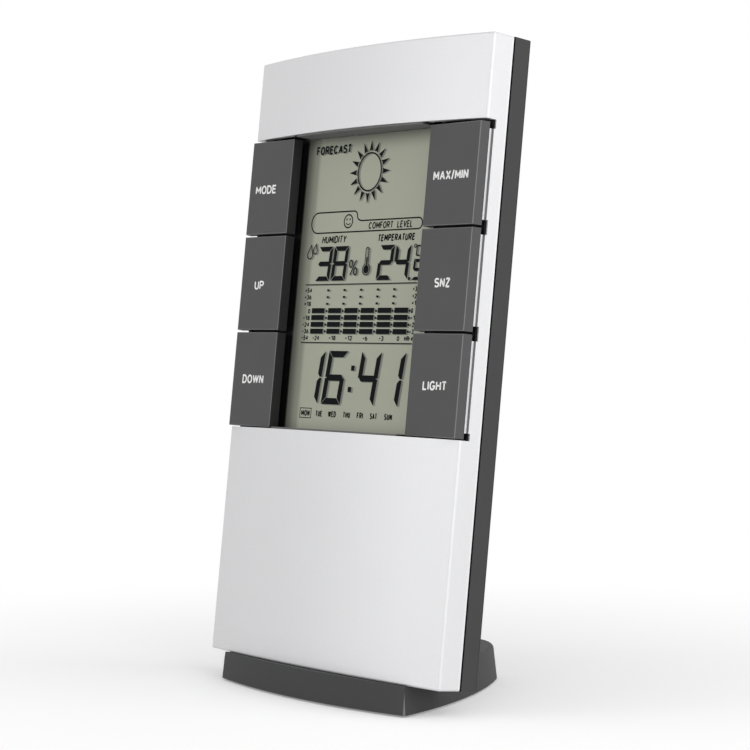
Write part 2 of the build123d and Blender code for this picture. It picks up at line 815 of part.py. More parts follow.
def buzzer_leads():
    """Two wires from the sounder to the side of the sensor tongue."""
    pieces = []
    lane = back_inner - buzzer_height - lead_radius - lead_front
    board_lane = board_front - lead_radius - lead_front
    end_x = buzzer_lead_reach - board_tongue_half
    for way in (-1, 1):
        z = buzzer_z + way * buzzer_lead_pitch / 2
        pieces.append(wire([(buzzer_x, lane, z), ((buzzer_x + end_x) / 2, lane - lead_bow, z),
                            (end_x, board_lane, z)]))
    return Compound(children=pieces)


def battery_door():
    """Door in the rear hump: rounded lower edge, two hooks and a latch tongue."""
    body = block(-door_half_width, door_half_width, door_inner, hump_back, door_axis_z, door_top)
    bead = Pos(0, door_axis_y, door_axis_z) * Rot(Y=90) * Cylinder(door_thickness / 2, 2 * door_half_width)
    body += bead
    for side in (-1, 1):
        x0 = side * door_hook_x - door_hook_width / 2
        x1 = side * door_hook_x + door_hook_width / 2
        front = door_inner - door_hook_front
        body += block(x0, x1, front, front + door_hook_thickness, door_bottom - door_hook_reach,
                      door_axis_z + door_hook_root)
        body += block(x0, x1, front, door_axis_y, door_axis_z, door_axis_z + door_hook_root)
        slot_x = side * (latch_width / 2 + latch_slot / 2)
        body -= block(slot_x - latch_slot / 2, slot_x + latch_slot / 2, door_inner - cut_margin,
                      hump_back + cut_margin, door_top - latch_length, door_top)
    half = latch_width / 2
    body += block(-half, half, door_inner + latch_gap, hump_back, door_top - latch_rib, door_top + latch_reach)
    for index in range(3):
        z = door_top - index * latch_rib_pitch
        body += block(latch_rib_inset - half, half - latch_rib_inset, hump_back - latch_gap,
                      hump_back + latch_rib_rise, z, z + latch_rib)
    return body


def stand_outline(inset):
    """Plan of the stand, set in by inset: bowed front, curved sides, round rear."""
    angle = math.radians(stand_side_angle)
    corner_x = stand_front_half - inset
    corner_y = stand_front_y + stand_front_bulge + inset
    side_radius = stand_side_radius - inset
    rear_radius = stand_rear_radius - inset
    centre_x = stand_front_half - stand_side_radius * math.cos(angle)
    centre_y = stand_front_y + stand_front_bulge - stand_side_radius * math.sin(angle)
    rear_y = centre_y + math.sqrt((side_radius - rear_radius) ** 2 - centre_x ** 2)
    reach = math.hypot(centre_x, rear_y - centre_y)
    join_x = centre_x - side_radius * centre_x / reach
    join_y = centre_y + side_radius * (rear_y - centre_y) / reach
    corner_x = centre_x + math.sqrt(side_radius ** 2 - (corner_y - centre_y) ** 2)
    half_turn = (math.atan2(corner_y - centre_y, corner_x - centre_x)
                 + math.atan2(join_y - centre_y, join_x - centre_x)) / 2
    mid_x = centre_x + side_radius * math.cos(half_turn)
    mid_y = centre_y + side_radius * math.sin(half_turn)
    front = ThreePointArc((-corner_x, corner_y), (0, stand_front_y + inset), (corner_x, corner_y))
    right = ThreePointArc((corner_x, corner_y), (mid_x, mid_y), (join_x, join_y))
    rear = ThreePointArc((join_x, join_y), (0, rear_y + rear_radius), (-join_x, join_y))
    left = ThreePointArc((-join_x, join_y), (-mid_x, mid_y), (-corner_x, corner_y))
    return make_face(front.edges() + right.edges() + rear.edges() + left.edges())


def stand_side_x(y):
    """Half width of the stand's floor outline at y."""
    angle = math.radians(stand_side_angle)
    centre_x = stand_front_half - stand_side_radius * math.cos(angle)
    centre_y = stand_front_y + stand_front_bulge - stand_side_radius * math.sin(angle)
    return centre_x + math.sqrt(stand_side_radius ** 2 - (y - centre_y) ** 2)


def foot_spots():
    """Centres of the four feet."""
    front = stand_front_y + foot_front_inset
    rear = stand_rear_y - foot_rear_inset
    return ((-foot_front_x, front), (foot_front_x, front), (-foot_rear_x, rear), (foot_rear_x, rear))


def stand():
    """Hollow stand: slanted seat, raised rear, shoulders, two pegs and foot bosses."""
    outline = stand_outline(0)
    outline = fillet(outline.vertices().sort_by(Axis.Y)[:2], stand_corner_round)
    solid = Pos(0, 0, foot_proud) * extrude(outline, stand_rear_height, taper=stand_draft)
    solid = fillet(solid.faces().sort_by(Axis.Z)[-1].edges(), stand_top_round)
    case_space = seat * block(-case_width, case_width, -case_width, case_depth + case_back_gap,
                              -case_seat_gap, case_width)
    solid -= case_space
    step_y = case_origin_y + case_depth
    shoulder_z = foot_proud + stand_shoulder_height
    tip_y = step_y + stand_shoulder_run
    for side in (-1, 1):
        near_x = side * (stand_side_x(step_y) - stand_shoulder_inset)
        near = (near_x, step_y - stand_wall)
        far = (side * stand_side_x(tip_y), tip_y)
        out = (side * (stand_side_x(step_y) + stand_wall), step_y - stand_wall)
        wedge = make_face(Polyline(near, far, out, close=True))
        solid -= Pos(0, 0, shoulder_z) * extrude(wedge, stand_rear_height)
    inner = stand_outline(stand_wall)
    low = extrude(inner, foot_proud + stand_front_cavity)
    high = extrude(inner, foot_proud + stand_rear_cavity)
    rear_start = step_y + stand_wall
    high &= block(-case_width, case_width, rear_start, case_width, -cut_margin, cut_margin)
    cavity = low + high
    for way in (-1, 0, 1):
        x = way * stand_rib_pitch
        cavity -= block(x - stand_rib / 2, x + stand_rib / 2, -case_width, case_width, foot_proud, cut_margin)
    for x, y in foot_spots():
        cavity -= Pos(x, y, foot_proud + cut_margin / 2) * Cylinder(foot_radius + foot_boss_wall, cut_margin)
    solid -= cavity
    for x, y in foot_spots():
        top = foot_thickness + foot_fit
        solid -= Pos(x, y, top / 2) * Cylinder(foot_radius + foot_fit, top)
    for side in (-1, 1):
        peg = block(side * peg_x - peg_width / 2, side * peg_x + peg_width / 2, peg_front,
                    peg_front + peg_thickness, -peg_root, peg_height)
        tip = peg.faces().sort_by(Axis.Z)[-1]
        solid += seat * chamfer(tip.edges(), peg_lead_in)
    return solid


def stand_feet():
    """Four pads under the stand."""
    return Compound(children=[Pos(x, y, foot_thickness / 2) * Cylinder(foot_radius, foot_thickness)
                              for x, y in foot_spots()])


key_names = (("max_min", "snooze", "light"), ("mode", "up", "down"))


def pieces():
    """Every piece by name, in place on the stand."""
    upright = {
        "front_shell": front_shell(),
        "rear_housing": rear_housing(),
        "display_bezel": display_bezel(),
        "front_polariser": front_polariser(),
        "lcd_glass": lcd_glass(),
        "reflector_film": reflector_film(),
        "light_guide": light_guide(),
        "backlight_leds": backlight_leds(),
        "contact_strip": contact_strip(),
        "circuit_board": circuit_board(),
        "board_screws": board_screws(),
        "switch_housings": switch_housings(),
        "controller_blob": controller_blob(),
        "chip_components": chip_components(),
        "humidity_sensor": humidity_sensor(),
        "pressure_sensor": pressure_sensor(),
        "thermistor": thermistor(),
        "buzzer": buzzer(),
        "buzzer_leads": buzzer_leads(),
        "battery_cells": battery_cells(),
        "terminal_contacts": terminal_contacts(),
        "bridge_contact": bridge_contact(),
        "battery_leads": battery_leads(),
        "battery_door": battery_door(),
        "case_screws": case_screws(),
    }
    for side, names in zip((1, -1), key_names):
        for name, z in zip(names, key_rows):
            upright[name + "_key"] = key(side, z)
            upright[name + "_plunger"] = plunger(side, z)
    placed = {name: seat * shape for name, shape in upright.items()}
    placed["stand"] = stand()
    placed["stand_feet"] = stand_feet()
    return placed


def main():
    """Write one file for each piece."""
    os.makedirs("parts", exist_ok=True)
    for name, shape in pieces().items():
        export_step(shape, os.path.join("parts", name + ".step"))


if __name__ == "__main__":
    main()
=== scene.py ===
"""Desk clock with thermometer and hygrometer: finishes, display art, key words and studio.

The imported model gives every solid. This script dresses each of them, draws the display art
and the words on the keys as thin raised patches, and sets the floor, the lights and the camera.
Lengths are written in millimetres: those of the display and the keys in the case frame (x right,
y into the case, z up the case), those of the studio in the shared frame. They are placed in metres.
"""
import logging
import math
from dataclasses import dataclass, field
from enum import Enum
from typing import Any, Callable, Dict, List, Optional, Sequence, Tuple, Union

import bpy
import numpy as np
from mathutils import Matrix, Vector


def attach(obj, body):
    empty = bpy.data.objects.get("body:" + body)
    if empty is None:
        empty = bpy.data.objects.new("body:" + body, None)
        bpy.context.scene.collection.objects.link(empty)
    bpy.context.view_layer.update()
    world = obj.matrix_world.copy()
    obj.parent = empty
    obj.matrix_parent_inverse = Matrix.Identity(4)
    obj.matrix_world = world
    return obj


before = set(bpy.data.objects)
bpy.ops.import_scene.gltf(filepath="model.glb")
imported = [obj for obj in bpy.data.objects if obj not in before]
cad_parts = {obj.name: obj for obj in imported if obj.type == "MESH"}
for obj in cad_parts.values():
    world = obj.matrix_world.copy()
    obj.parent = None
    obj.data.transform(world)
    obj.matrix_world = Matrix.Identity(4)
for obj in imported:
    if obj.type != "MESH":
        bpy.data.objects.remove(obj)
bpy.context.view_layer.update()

log = logging.getLogger("desk_clock")

Colour = Tuple[float, float, float]
Place = Tuple[float, float, float]
Step = Tuple[float, float, float]
Point = Tuple[float, float]
Span = Tuple[float, float]
Box = Tuple[float, float, float, float]
Values = Dict[str, Any]
Rows = np.ndarray
Surface = Callable[[Rows], Rows]
Material = bpy.types.Material
Thing = bpy.types.Object

MM = 0.001
ANYWHERE: Span = (-1000.0, 1000.0)
BLACK: Colour = (0.0, 0.0, 0.0)
WHITE: Colour = (1.0, 1.0, 1.0)


def shade(colour: Colour, share: float) -> Colour:
    """A colour times a share, kept below white."""
    return tuple(min(1.0, channel * share) for channel in colour)


def operation(name: str, swapped: bool = False) -> Callable[..., "Sock"]:
    """Make a Sock method that adds one Math node.

    Args:
        name: The node's operation.
        swapped: Whether the other value is the left operand.

    Returns:
        The method. Its other value goes unused where the operation takes only one.
    """
    def method(this: "Sock", other: "Value" = 0.0) -> "Sock":
        """Add the node and hand back its result."""
        first, second = (other, this) if swapped else (this, other)
        return this.graph.node("ShaderNodeMath", {"operation": name}, {0: first, 1: second})

    return method


@dataclass(eq=False)
class Sock:
    """A shader output whose arithmetic adds Math nodes to its graph."""

    graph: "Graph"
    socket: Optional[bpy.types.NodeSocket]
    __add__ = operation("ADD")
    __radd__ = operation("ADD", swapped=True)
    __sub__ = operation("SUBTRACT")
    __rsub__ = operation("SUBTRACT", swapped=True)
    __mul__ = operation("MULTIPLY")
    __gt__ = operation("GREATER_THAN")
    size = operation("ABSOLUTE")
    at_most = operation("MINIMUM")

    def around(self, middle: float, swing: float) -> "Sock":
        """This noise of about 0 to 1 as a value that swings about a middle."""
        return (self - 0.5) * swing + middle

    def mixed(self, other: "Sock", share: float) -> "Sock":
        """A share of this value and the rest of another."""
        return self * share + other * (1.0 - share)


Value = Union[Sock, float, int]


class Graph:
    """Node tree of one material or world, written as expressions."""

    def __init__(self, owner: Any) -> None:
        """Clear the owner's node tree and keep it.

        Args:
            owner: Material or world.
        """
        owner.use_nodes = True
        self.tree = owner.node_tree
        self.tree.nodes.clear()

    def node(self, kind: str, settings: Optional[Values] = None,
             inputs: Optional[Dict[Union[str, int], Any]] = None, out: Union[str, int] = 0) -> Sock:
        """Add any node.

        Args:
            kind: Node type.
            settings: Properties that are set before the sockets are.
            inputs: Values or links by socket name or number.
            out: Output to hand back.

        Returns:
            The chosen output.
        """
        made = self.tree.nodes.new(kind)
        for name, value in (settings or {}).items():
            setattr(made, name, value)
        for name, value in (inputs or {}).items():
            self.feed(made.inputs[name], value)
        return Sock(self, made.outputs[out] if len(made.outputs) else None)

    def feed(self, socket: bpy.types.NodeSocket, value: Any) -> None:
        """Link a Sock to a socket or set a plain value on it.

        Args:
            socket: Input of a node.
            value: Sock, colour or plain value.
        """
        if isinstance(value, Sock):
            self.tree.links.new(value.socket, socket)
        elif isinstance(value, tuple) and len(value) == 3 and socket.type == "RGBA":
            socket.default_value = (*value, 1.0)
        else:
            socket.default_value = value

    def place(self) -> Sock:
        """Object coordinates, in metres."""
        return self.node("ShaderNodeTexCoord", out="Object")

    def split(self, vector: Sock) -> Tuple[Sock, Sock, Sock]:
        """The three components of a vector."""
        parts = (self.node("ShaderNodeSeparateXYZ", inputs={"Vector": vector}, out=axis) for axis in "XYZ")
        return tuple(parts)

    def rise(self, value: Value, low: float, high: float) -> Sock:
        """Zero below low, one above high and a smooth step between them."""
        return self.node("ShaderNodeMapRange", {"interpolation_type": "SMOOTHSTEP"},
                         {"Value": value, "From Min": low, "From Max": high})

    def noise(self, size: float, detail: float = 2.0, stretch: Place = (1.0, 1.0, 1.0)) -> Sock:
        """Noise of about 0 to 1 with features of a size in millimetres, octaves and a scale of each axis."""
        turned = self.node("ShaderNodeMapping", inputs={"Vector": self.place(), "Scale": stretch})
        return self.node("ShaderNodeTexNoise", inputs={"Vector": turned, "Scale": 1.0 / (size * MM),
                                                       "Detail": detail}, out="Fac")

    def cells(self, size: float) -> Sock:
        """Random shade of each cell of a fine cell pattern of that size in millimetres."""
        tone = self.node("ShaderNodeTexVoronoi", inputs={"Vector": self.place(), "Scale": 1.0 / (size * MM)},
                         out="Color")
        return self.node("ShaderNodeSeparateColor", inputs={"Color": tone}, out=0)

    def blend(self, factor: Value, low: Any, high: Any) -> Sock:
        """Colour between low and high by a factor."""
        return self.node("ShaderNodeMix", {"data_type": "RGBA"}, {0: factor, 6: low, 7: high}, out=2)

    def shades(self, mix: Value, colour: Colour, low: float, high: float) -> Sock:
        """Colour between two shares of one colour by a mix."""
        return self.blend(mix, shade(colour, low), shade(colour, high))

    def bump(self, height: Sock, depth: float) -> Sock:
        """Surface normal from a height whose full swing is depth millimetres."""
        return self.node("ShaderNodeBump", inputs={"Height": height, "Distance": depth * MM})

    def surface(self, values: Values) -> None:
        """Join one Principled shader with these values to the output."""
        shader = self.node("ShaderNodeBsdfPrincipled", inputs=values)
        self.node("ShaderNodeOutputMaterial", inputs={"Surface": shader})


def new_graph(name: str) -> Tuple[Material, Graph]:
    """An empty material of that name and its graph."""
    material = bpy.data.materials.new(name)
    return material, Graph(material)


@dataclass(frozen=True)
class CaseFrame:
    """Where the leaning case stands in the shared frame."""

    lean: float = 6.5
    origin_y: float = -22.7
    origin_z: float = 6.8

    def place(self, points: Rows) -> Rows:
        """Turn case points into the shared frame.

        Args:
            points: Rows of x, y and z in millimetres in the case frame.

        Returns:
            Rows of x, y and z in metres. The case is turned back about x by its lean
            and moved to its seat on the stand.
        """
        turn = math.radians(self.lean)
        x, y, z = points.T
        back = self.origin_y + y * math.cos(turn) + z * math.sin(turn)
        high = self.origin_z - y * math.sin(turn) + z * math.cos(turn)
        return np.stack([x, back, high], axis=1) * MM

    def axes(self, g: Graph) -> Tuple[Sock, Sock, Sock]:
        """Case coordinates of the shaded point.

        The object coordinates are moved back by the origin and turned about x by the
        lean, which undoes place.

        Args:
            g: Graph of the material.

        Returns:
            x, y and z in millimetres in the case frame.
        """
        turn = math.radians(self.lean)
        x, y, z = g.split(g.place())
        back, high = y * (1.0 / MM) - self.origin_y, z * (1.0 / MM) - self.origin_z
        return (x * (1.0 / MM), back * math.cos(turn) - high * math.sin(turn),
                back * math.sin(turn) + high * math.cos(turn))


@dataclass(frozen=True)
class Band:
    """A zone between limits in the case frame, in millimetres, and its share of the colour."""

    share: float
    reach: Span = ANYWHERE
    depth: Span = ANYWHERE
    height: Span = ANYWHERE
    case: CaseFrame = CaseFrame()

    def over(self, g: Graph, tone: Sock, colour: Colour) -> Sock:
        """Lay the zone's share of a colour over a tone.

        Args:
            g: Graph of the material.
            tone: Colour outside the zone.
            colour: Colour of which the zone takes its share.

        Returns:
            The tone with the zone in it. Reach counts to both sides of the middle.
        """
        x, y, z = self.case.axes(g)
        inside: Value = 1.0
        for value, (low, high) in ((x.size(), self.reach), (y, self.depth), (z, self.height)):
            inside = (value > low) * (1.0 - (value > high)) * inside
        return g.blend(inside, tone, shade(colour, self.share))


@dataclass(frozen=True)
class Finish:
    """What every finish has: a name, a colour and a Principled shader with values of its own.

    Kinds of finish replace values and tone, whose arguments and results are described here.
    """

    name: str
    colour: Colour
    spread: float = field(default=0.12, kw_only=True)
    bands: Tuple[Band, ...] = field(default=(), kw_only=True)

    def tone(self, g: Graph, mix: Sock) -> Sock:
        """Base colour, from a darker to a lighter shade by the mix, with the bands laid over it.

        Args:
            g: Graph of the material.
            mix: Grain and drift, about 0 to 1.

        Returns:
            The base colour.
        """
        tone = g.shades(mix, self.colour, 1.0 - self.spread, 1.0 + self.spread)
        for band in self.bands:
            tone = band.over(g, tone, self.colour)
        return tone

    def values(self, g: Graph) -> Values:
        """Work out the shader's values; each kind of finish has its own way.

        Args:
            g: Graph of the material.

        Returns:
            Values or links by socket name.
        """
        raise NotImplementedError

    def material(self) -> Material:
        """Make the material.

        Returns:
            A new material of the finish's name.
        """
        material, g = new_graph(self.name)
        g.surface(self.values(g))
        return material


@dataclass(frozen=True)
class MouldedPlastic(Finish):
    """Moulded plastic with a spark-eroded grain and a slow drift of tone."""

    roughness: float = 0.5
    grain: float = 0.22
    depth: float = 0.02
    sheen_spread: float = 0.16
    specular: float = 0.5
    drift_grains: float = 60.0
    grain_share: float = 0.5

    def values(self, g: Graph) -> Values:
        """Base colour and roughness follow the grain; the grain is also the bump."""
        grain = g.noise(self.grain, detail=3.0)
        drift = g.noise(self.drift_grains * self.grain)
        return {"Base Color": self.tone(g, grain.mixed(drift, self.grain_share)),
                "Roughness": grain.around(self.roughness, self.sheen_spread),
                "Specular IOR Level": self.specular, "Normal": g.bump(grain, self.depth)}


@dataclass(frozen=True)
class EdgeHighlightPlastic(MouldedPlastic):
    """Moulded plastic with a painted highlight along its rounded front edges."""

    lean: float = 0.0
    edge_highlight: Colour = (0.16, 0.16, 0.16)
    edge_highlight_from: float = 0.6
    edge_highlight_to: float = 0.9

    def tone(self, g: Graph, mix: Sock) -> Sock:
        """Paint a highlight where the surface faces half aside and half forwards.

        Twice the forward part of the normal times the sum of its parts to the side and up
        or down is one on the middle of a rounded front edge and small on the faces beside it.
        """
        turn = math.radians(self.lean)
        x, y, z = g.split(g.node("ShaderNodeTexCoord", out="Normal"))
        forward = z * math.sin(turn) - y * math.cos(turn)
        upward = y * math.sin(turn) + z * math.cos(turn)
        # edge is the mask of the painted highlight along the rounded front edges.
        edge = g.rise((x.size() + upward.size()) * forward * 2.0, self.edge_highlight_from, self.edge_highlight_to)
        return g.blend(edge, super().tone(g, mix), self.edge_highlight)


@dataclass(frozen=True)
class WallShadedPlastic(EdgeHighlightPlastic):
    """Key plastic with a painted highlight along its front edges and painted shade on the walls towards the
    middle of the case.
    """

    lean: float = 6.5
    wall_shade_share: float = 0.34
    wall_shade_from: float = 20.0

    def tone(self, g: Graph, mix: Sock) -> Sock:
        """Paint shade where the normal points back across the case.

        There the place times the normal, both along x, is well below zero.
        """
        place, normal = (g.split(g.node("ShaderNodeTexCoord", out=out))[0] for out in ("Object", "Normal"))
        # Painted shade on the keys' inner walls, which face the middle of the case.
        wall_shade = 0.0 - place * normal > self.wall_shade_from * MM
        return g.blend(wall_shade, super().tone(g, mix), shade(self.colour, self.wall_shade_share))


@dataclass(frozen=True)
class SilverPaint(Finish):
    """Satin silver paint: fine flakes over a pale base under a thin lacquer."""

    roughness: float = 0.46
    metallic: float = 0.33
    flake: float = 0.09
    flake_share: float = 0.6
    drift: float = 35.0
    sheen_spread: float = 0.1
    peel: float = 0.9
    peel_depth: float = 0.004
    coat: float = 0.15
    coat_roughness: float = 0.3

    def values(self, g: Graph) -> Values:
        """Flakes vary the colour and roughness; a soft orange peel is the bump."""
        flake = g.cells(self.flake)
        mix = flake.mixed(g.noise(self.drift), self.flake_share)
        return {"Base Color": self.tone(g, mix), "Metallic": self.metallic,
                "Roughness": flake.around(self.roughness, self.sheen_spread),
                "Coat Weight": self.coat, "Coat Roughness": self.coat_roughness,
                "Normal": g.bump(g.noise(self.peel, detail=1.0), self.peel_depth)}


@dataclass(frozen=True)
class DisplayFilm(Finish):
    """Anti-glare film over the grey-green field of a liquid crystal display.

    The reflector lies behind the glass. The film has painted shade along the frame's left and upper edge and
    painted light towards the foot.
    """

    tint: Colour
    roughness: float = 0.38
    sheen_spread: float = 0.14
    specular: float = 0.3
    drift: float = 18.0
    drift_share: float = 0.75
    grain: float = 0.12
    depth: float = 0.002
    case: CaseFrame = CaseFrame()
    left_shade_steps: Tuple[Step, ...] = ((-24.4, -23.6, 0.28), (-23.6, -20.2, 0.34), (-20.2, -18.4, 0.38))
    top_shade_edge: Span = (124.8, 130.6)
    top_shade_share: float = 0.42
    foot_light_edge: Span = (56.0, 68.0)
    share_above_foot_light: float = 0.86

    def values(self, g: Graph) -> Values:
        """A slow drift of tint, the reflector's grain, painted shade along the left and upper edges, painted
        light towards the foot, and an anti-glare haze.
        """
        drift = g.noise(self.drift)
        grain = g.noise(self.grain)
        x, _, z = self.case.axes(g)
        # Painted shade along the left and upper edges and painted light towards the foot, multiplied into
        # the base colour.
        left = sum(g.rise(x, low, high) * gain for low, high, gain in self.left_shade_steps)
        top = 1.0 - g.rise(z, *self.top_shade_edge) * (1.0 - self.top_shade_share)
        foot_light = 1.0 - g.rise(z, *self.foot_light_edge) * (1.0 - self.share_above_foot_light)
        tone = g.blend(drift.mixed(grain, self.drift_share), self.colour, self.tint)
        return {"Base Color": g.blend(left * top * foot_light, BLACK, tone),
                "Roughness": grain.around(self.roughness, self.sheen_spread),
                "Specular IOR Level": self.specular, "Normal": g.bump(grain, self.depth)}


@dataclass(frozen=True)
class Ink(Finish):
    """Thin layer with a slightly uneven density: print, switched segments and their painted shadows."""

    roughness: float = 0.4
    grain: float = 0.25
    specular: float = 0.1
    sheen_spread: float = 0.1

    def values(self, g: Graph) -> Values:
        """Density noise drives the colour and the roughness."""
        density = g.noise(self.grain)
        return {"Base Color": self.tone(g, density),
                "Roughness": density.around(self.roughness, self.sheen_spread),
                "Specular IOR Level": self.specular}


@dataclass(frozen=True)
class PlatedMetal(Finish):
    """Plated or drawn metal with fine lines along one axis."""

    roughness: float = 0.28
    line: float = 0.12
    stretch: Place = (0.06, 1.0, 1.0)
    line_share: float = 0.5
    stain: float = 5.0
    dark: float = 0.86
    light: float = 1.08
    sheen_spread: float = 0.2
    depth: float = 0.004

    def values(self, g: Graph) -> Values:
        """Drawn lines vary the tone and are the bump; a slow stain varies tone and roughness."""
        lines = g.noise(self.line, 3.0, self.stretch)
        stain = g.noise(self.stain)
        tone = g.shades(lines.mixed(stain, self.line_share), self.colour, self.dark, self.light)
        return {"Base Color": tone, "Metallic": 1.0,
                "Roughness": stain.around(self.roughness, self.sheen_spread),
                "Normal": g.bump(lines, self.depth)}


@dataclass(frozen=True)
class ClearSheet(Finish):
    """Clear plate of glass or acrylic with faint surface haze."""

    ior: float = 1.5
    transmission: float = 0.85
    haze: float = 2.5
    dark: float = 0.95
    smooth: float = 0.03
    sheen_spread: float = 0.06
    depth: float = 0.002

    def values(self, g: Graph) -> Values:
        """One slow haze varies the tint, the roughness and the bump a little."""
        haze = g.noise(self.haze)
        return {"Base Color": g.shades(haze, self.colour, self.dark, 1.0),
                "Roughness": haze * self.sheen_spread + self.smooth, "IOR": self.ior,
                "Transmission Weight": self.transmission, "Normal": g.bump(haze, self.depth)}


@dataclass(frozen=True)
class BoardLaminate(Finish):
    """Green lacquered circuit board with copper traces showing through."""

    colour: Colour = (0.012, 0.07, 0.025)
    trace: Colour = (0.03, 0.13, 0.045)
    pitch: float = 2.54
    wave: float = 0.314
    waver: float = 1.5
    edge: float = 0.7
    route: float = 9.0
    weave: float = 0.4
    line_share: float = 0.85
    smooth: float = 0.25
    sheen_spread: float = 0.2
    weave_relief: float = 0.1
    depth: float = 0.03

    def stripes(self, g: Graph, axis: str) -> Sock:
        """One on the traces that cross an axis, else zero."""
        stripe = g.node("ShaderNodeTexWave", {"bands_direction": axis},
                        {"Vector": g.place(), "Scale": self.wave / (self.pitch * MM),
                         "Distortion": self.waver}, out="Fac")
        return stripe > self.edge

    def values(self, g: Graph) -> Values:
        """Two crossed stripe patterns, broken up by noise, lift the traces."""
        weave = g.noise(self.weave)
        turn = g.noise(self.route, detail=0.0) > 0.5
        lines = self.stripes(g, "X") * turn + self.stripes(g, "Z") * (1.0 - turn)
        return {"Base Color": g.blend(lines.mixed(weave, self.line_share), self.colour, self.trace),
                "Roughness": weave * self.sheen_spread + self.smooth,
                "Normal": g.bump(lines + weave * self.weave_relief, self.depth)}


@dataclass(frozen=True)
class CellJacket(Finish):
    """Shrink-wrapped battery cell: dark sleeve and bare metal at both ends."""

    colour: Colour = (0.03, 0.045, 0.075)
    metal: Colour = (0.62, 0.61, 0.58)
    half_sleeve: float = 21.2
    scuff: float = 1.4
    dark: float = 0.8
    light: float = 1.25
    smooth: float = 0.24
    sheen_spread: float = 0.15
    depth: float = 0.01

    def values(self, g: Graph) -> Values:
        """The distance along the cell picks the sleeve or the bare end."""
        bare = g.split(g.place())[0].size() > self.half_sleeve * MM
        scuff = g.noise(self.scuff, detail=3.0)
        sleeve = g.shades(scuff, self.colour, self.dark, self.light)
        return {"Base Color": g.blend(bare, sleeve, self.metal), "Metallic": bare,
                "Roughness": scuff * self.sheen_spread + self.smooth,
                "Normal": g.bump(scuff, self.depth)}


def put(finish: Finish, *nodes: str) -> None:
    """Give CAD nodes one new material in place of their own.

    Args:
        finish: What the material is made from.
        nodes: Names of the nodes.
    """
    material = finish.material()
    for node in nodes:
        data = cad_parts[node].data
        data.materials.clear()
        data.materials.append(material)


def arc(centre: Point, radii: Point, start: float, end: float, steps: int) -> Rows:
    """Points at even angles in degrees: the centre plus both radii times their cosine and sine."""
    angle = np.radians(np.linspace(start, end, steps))
    return np.column_stack([centre[0] + radii[0] * np.cos(angle), centre[1] + radii[1] * np.sin(angle)])


def circle(centre: Point, radii: Point, steps: int = 40) -> Rows:
    """Points round a closed ellipse, the first not repeated."""
    return arc(centre, radii, 0.0, 360.0, steps + 1)[:-1]


def box_outline(box: Box) -> Rows:
    """Corners of a box of left, right, lower and upper limit."""
    left, right, low, high = box
    return np.array([(left, low), (right, low), (right, high), (left, high)])


@dataclass(frozen=True)
class Stroke:
    """One line of a letter, in shares of the letter's width and height."""

    path: Rows
    closed: bool = False


@dataclass(frozen=True)
class Glyph:
    """A letter: its width in shares of the capital height, and its strokes."""

    width: float
    strokes: Tuple[Stroke, ...]


def run(*points: Point) -> Rows:
    """Rows of u and v from single points."""
    return np.array(points, dtype=float)


def level(v: float, left: float = 0, right: float = 1) -> Rows:
    """Level line of a letter at a height."""
    return run((left, v), (right, v))


def bow(centre: Point, radii: Point, start: float, end: float) -> Rows:
    """Round part of a letter: an ellipse arc with a point for every twelve degrees or so."""
    return arc(centre, radii, start, end, max(4, int(abs(end - start) / 12.0)))


def chain(*parts: Rows) -> Rows:
    """Several paths joined end to end."""
    return np.vstack(parts)


def ring(centre: Point, radii: Point) -> Stroke:
    """Closed round stroke."""
    return Stroke(circle(centre, radii, 26), True)


def letter(width: float, *strokes: Union[Rows, Stroke]) -> Glyph:
    """A letter from plain paths and closed strokes."""
    return Glyph(width, tuple(part if isinstance(part, Stroke) else Stroke(part) for part in strokes))


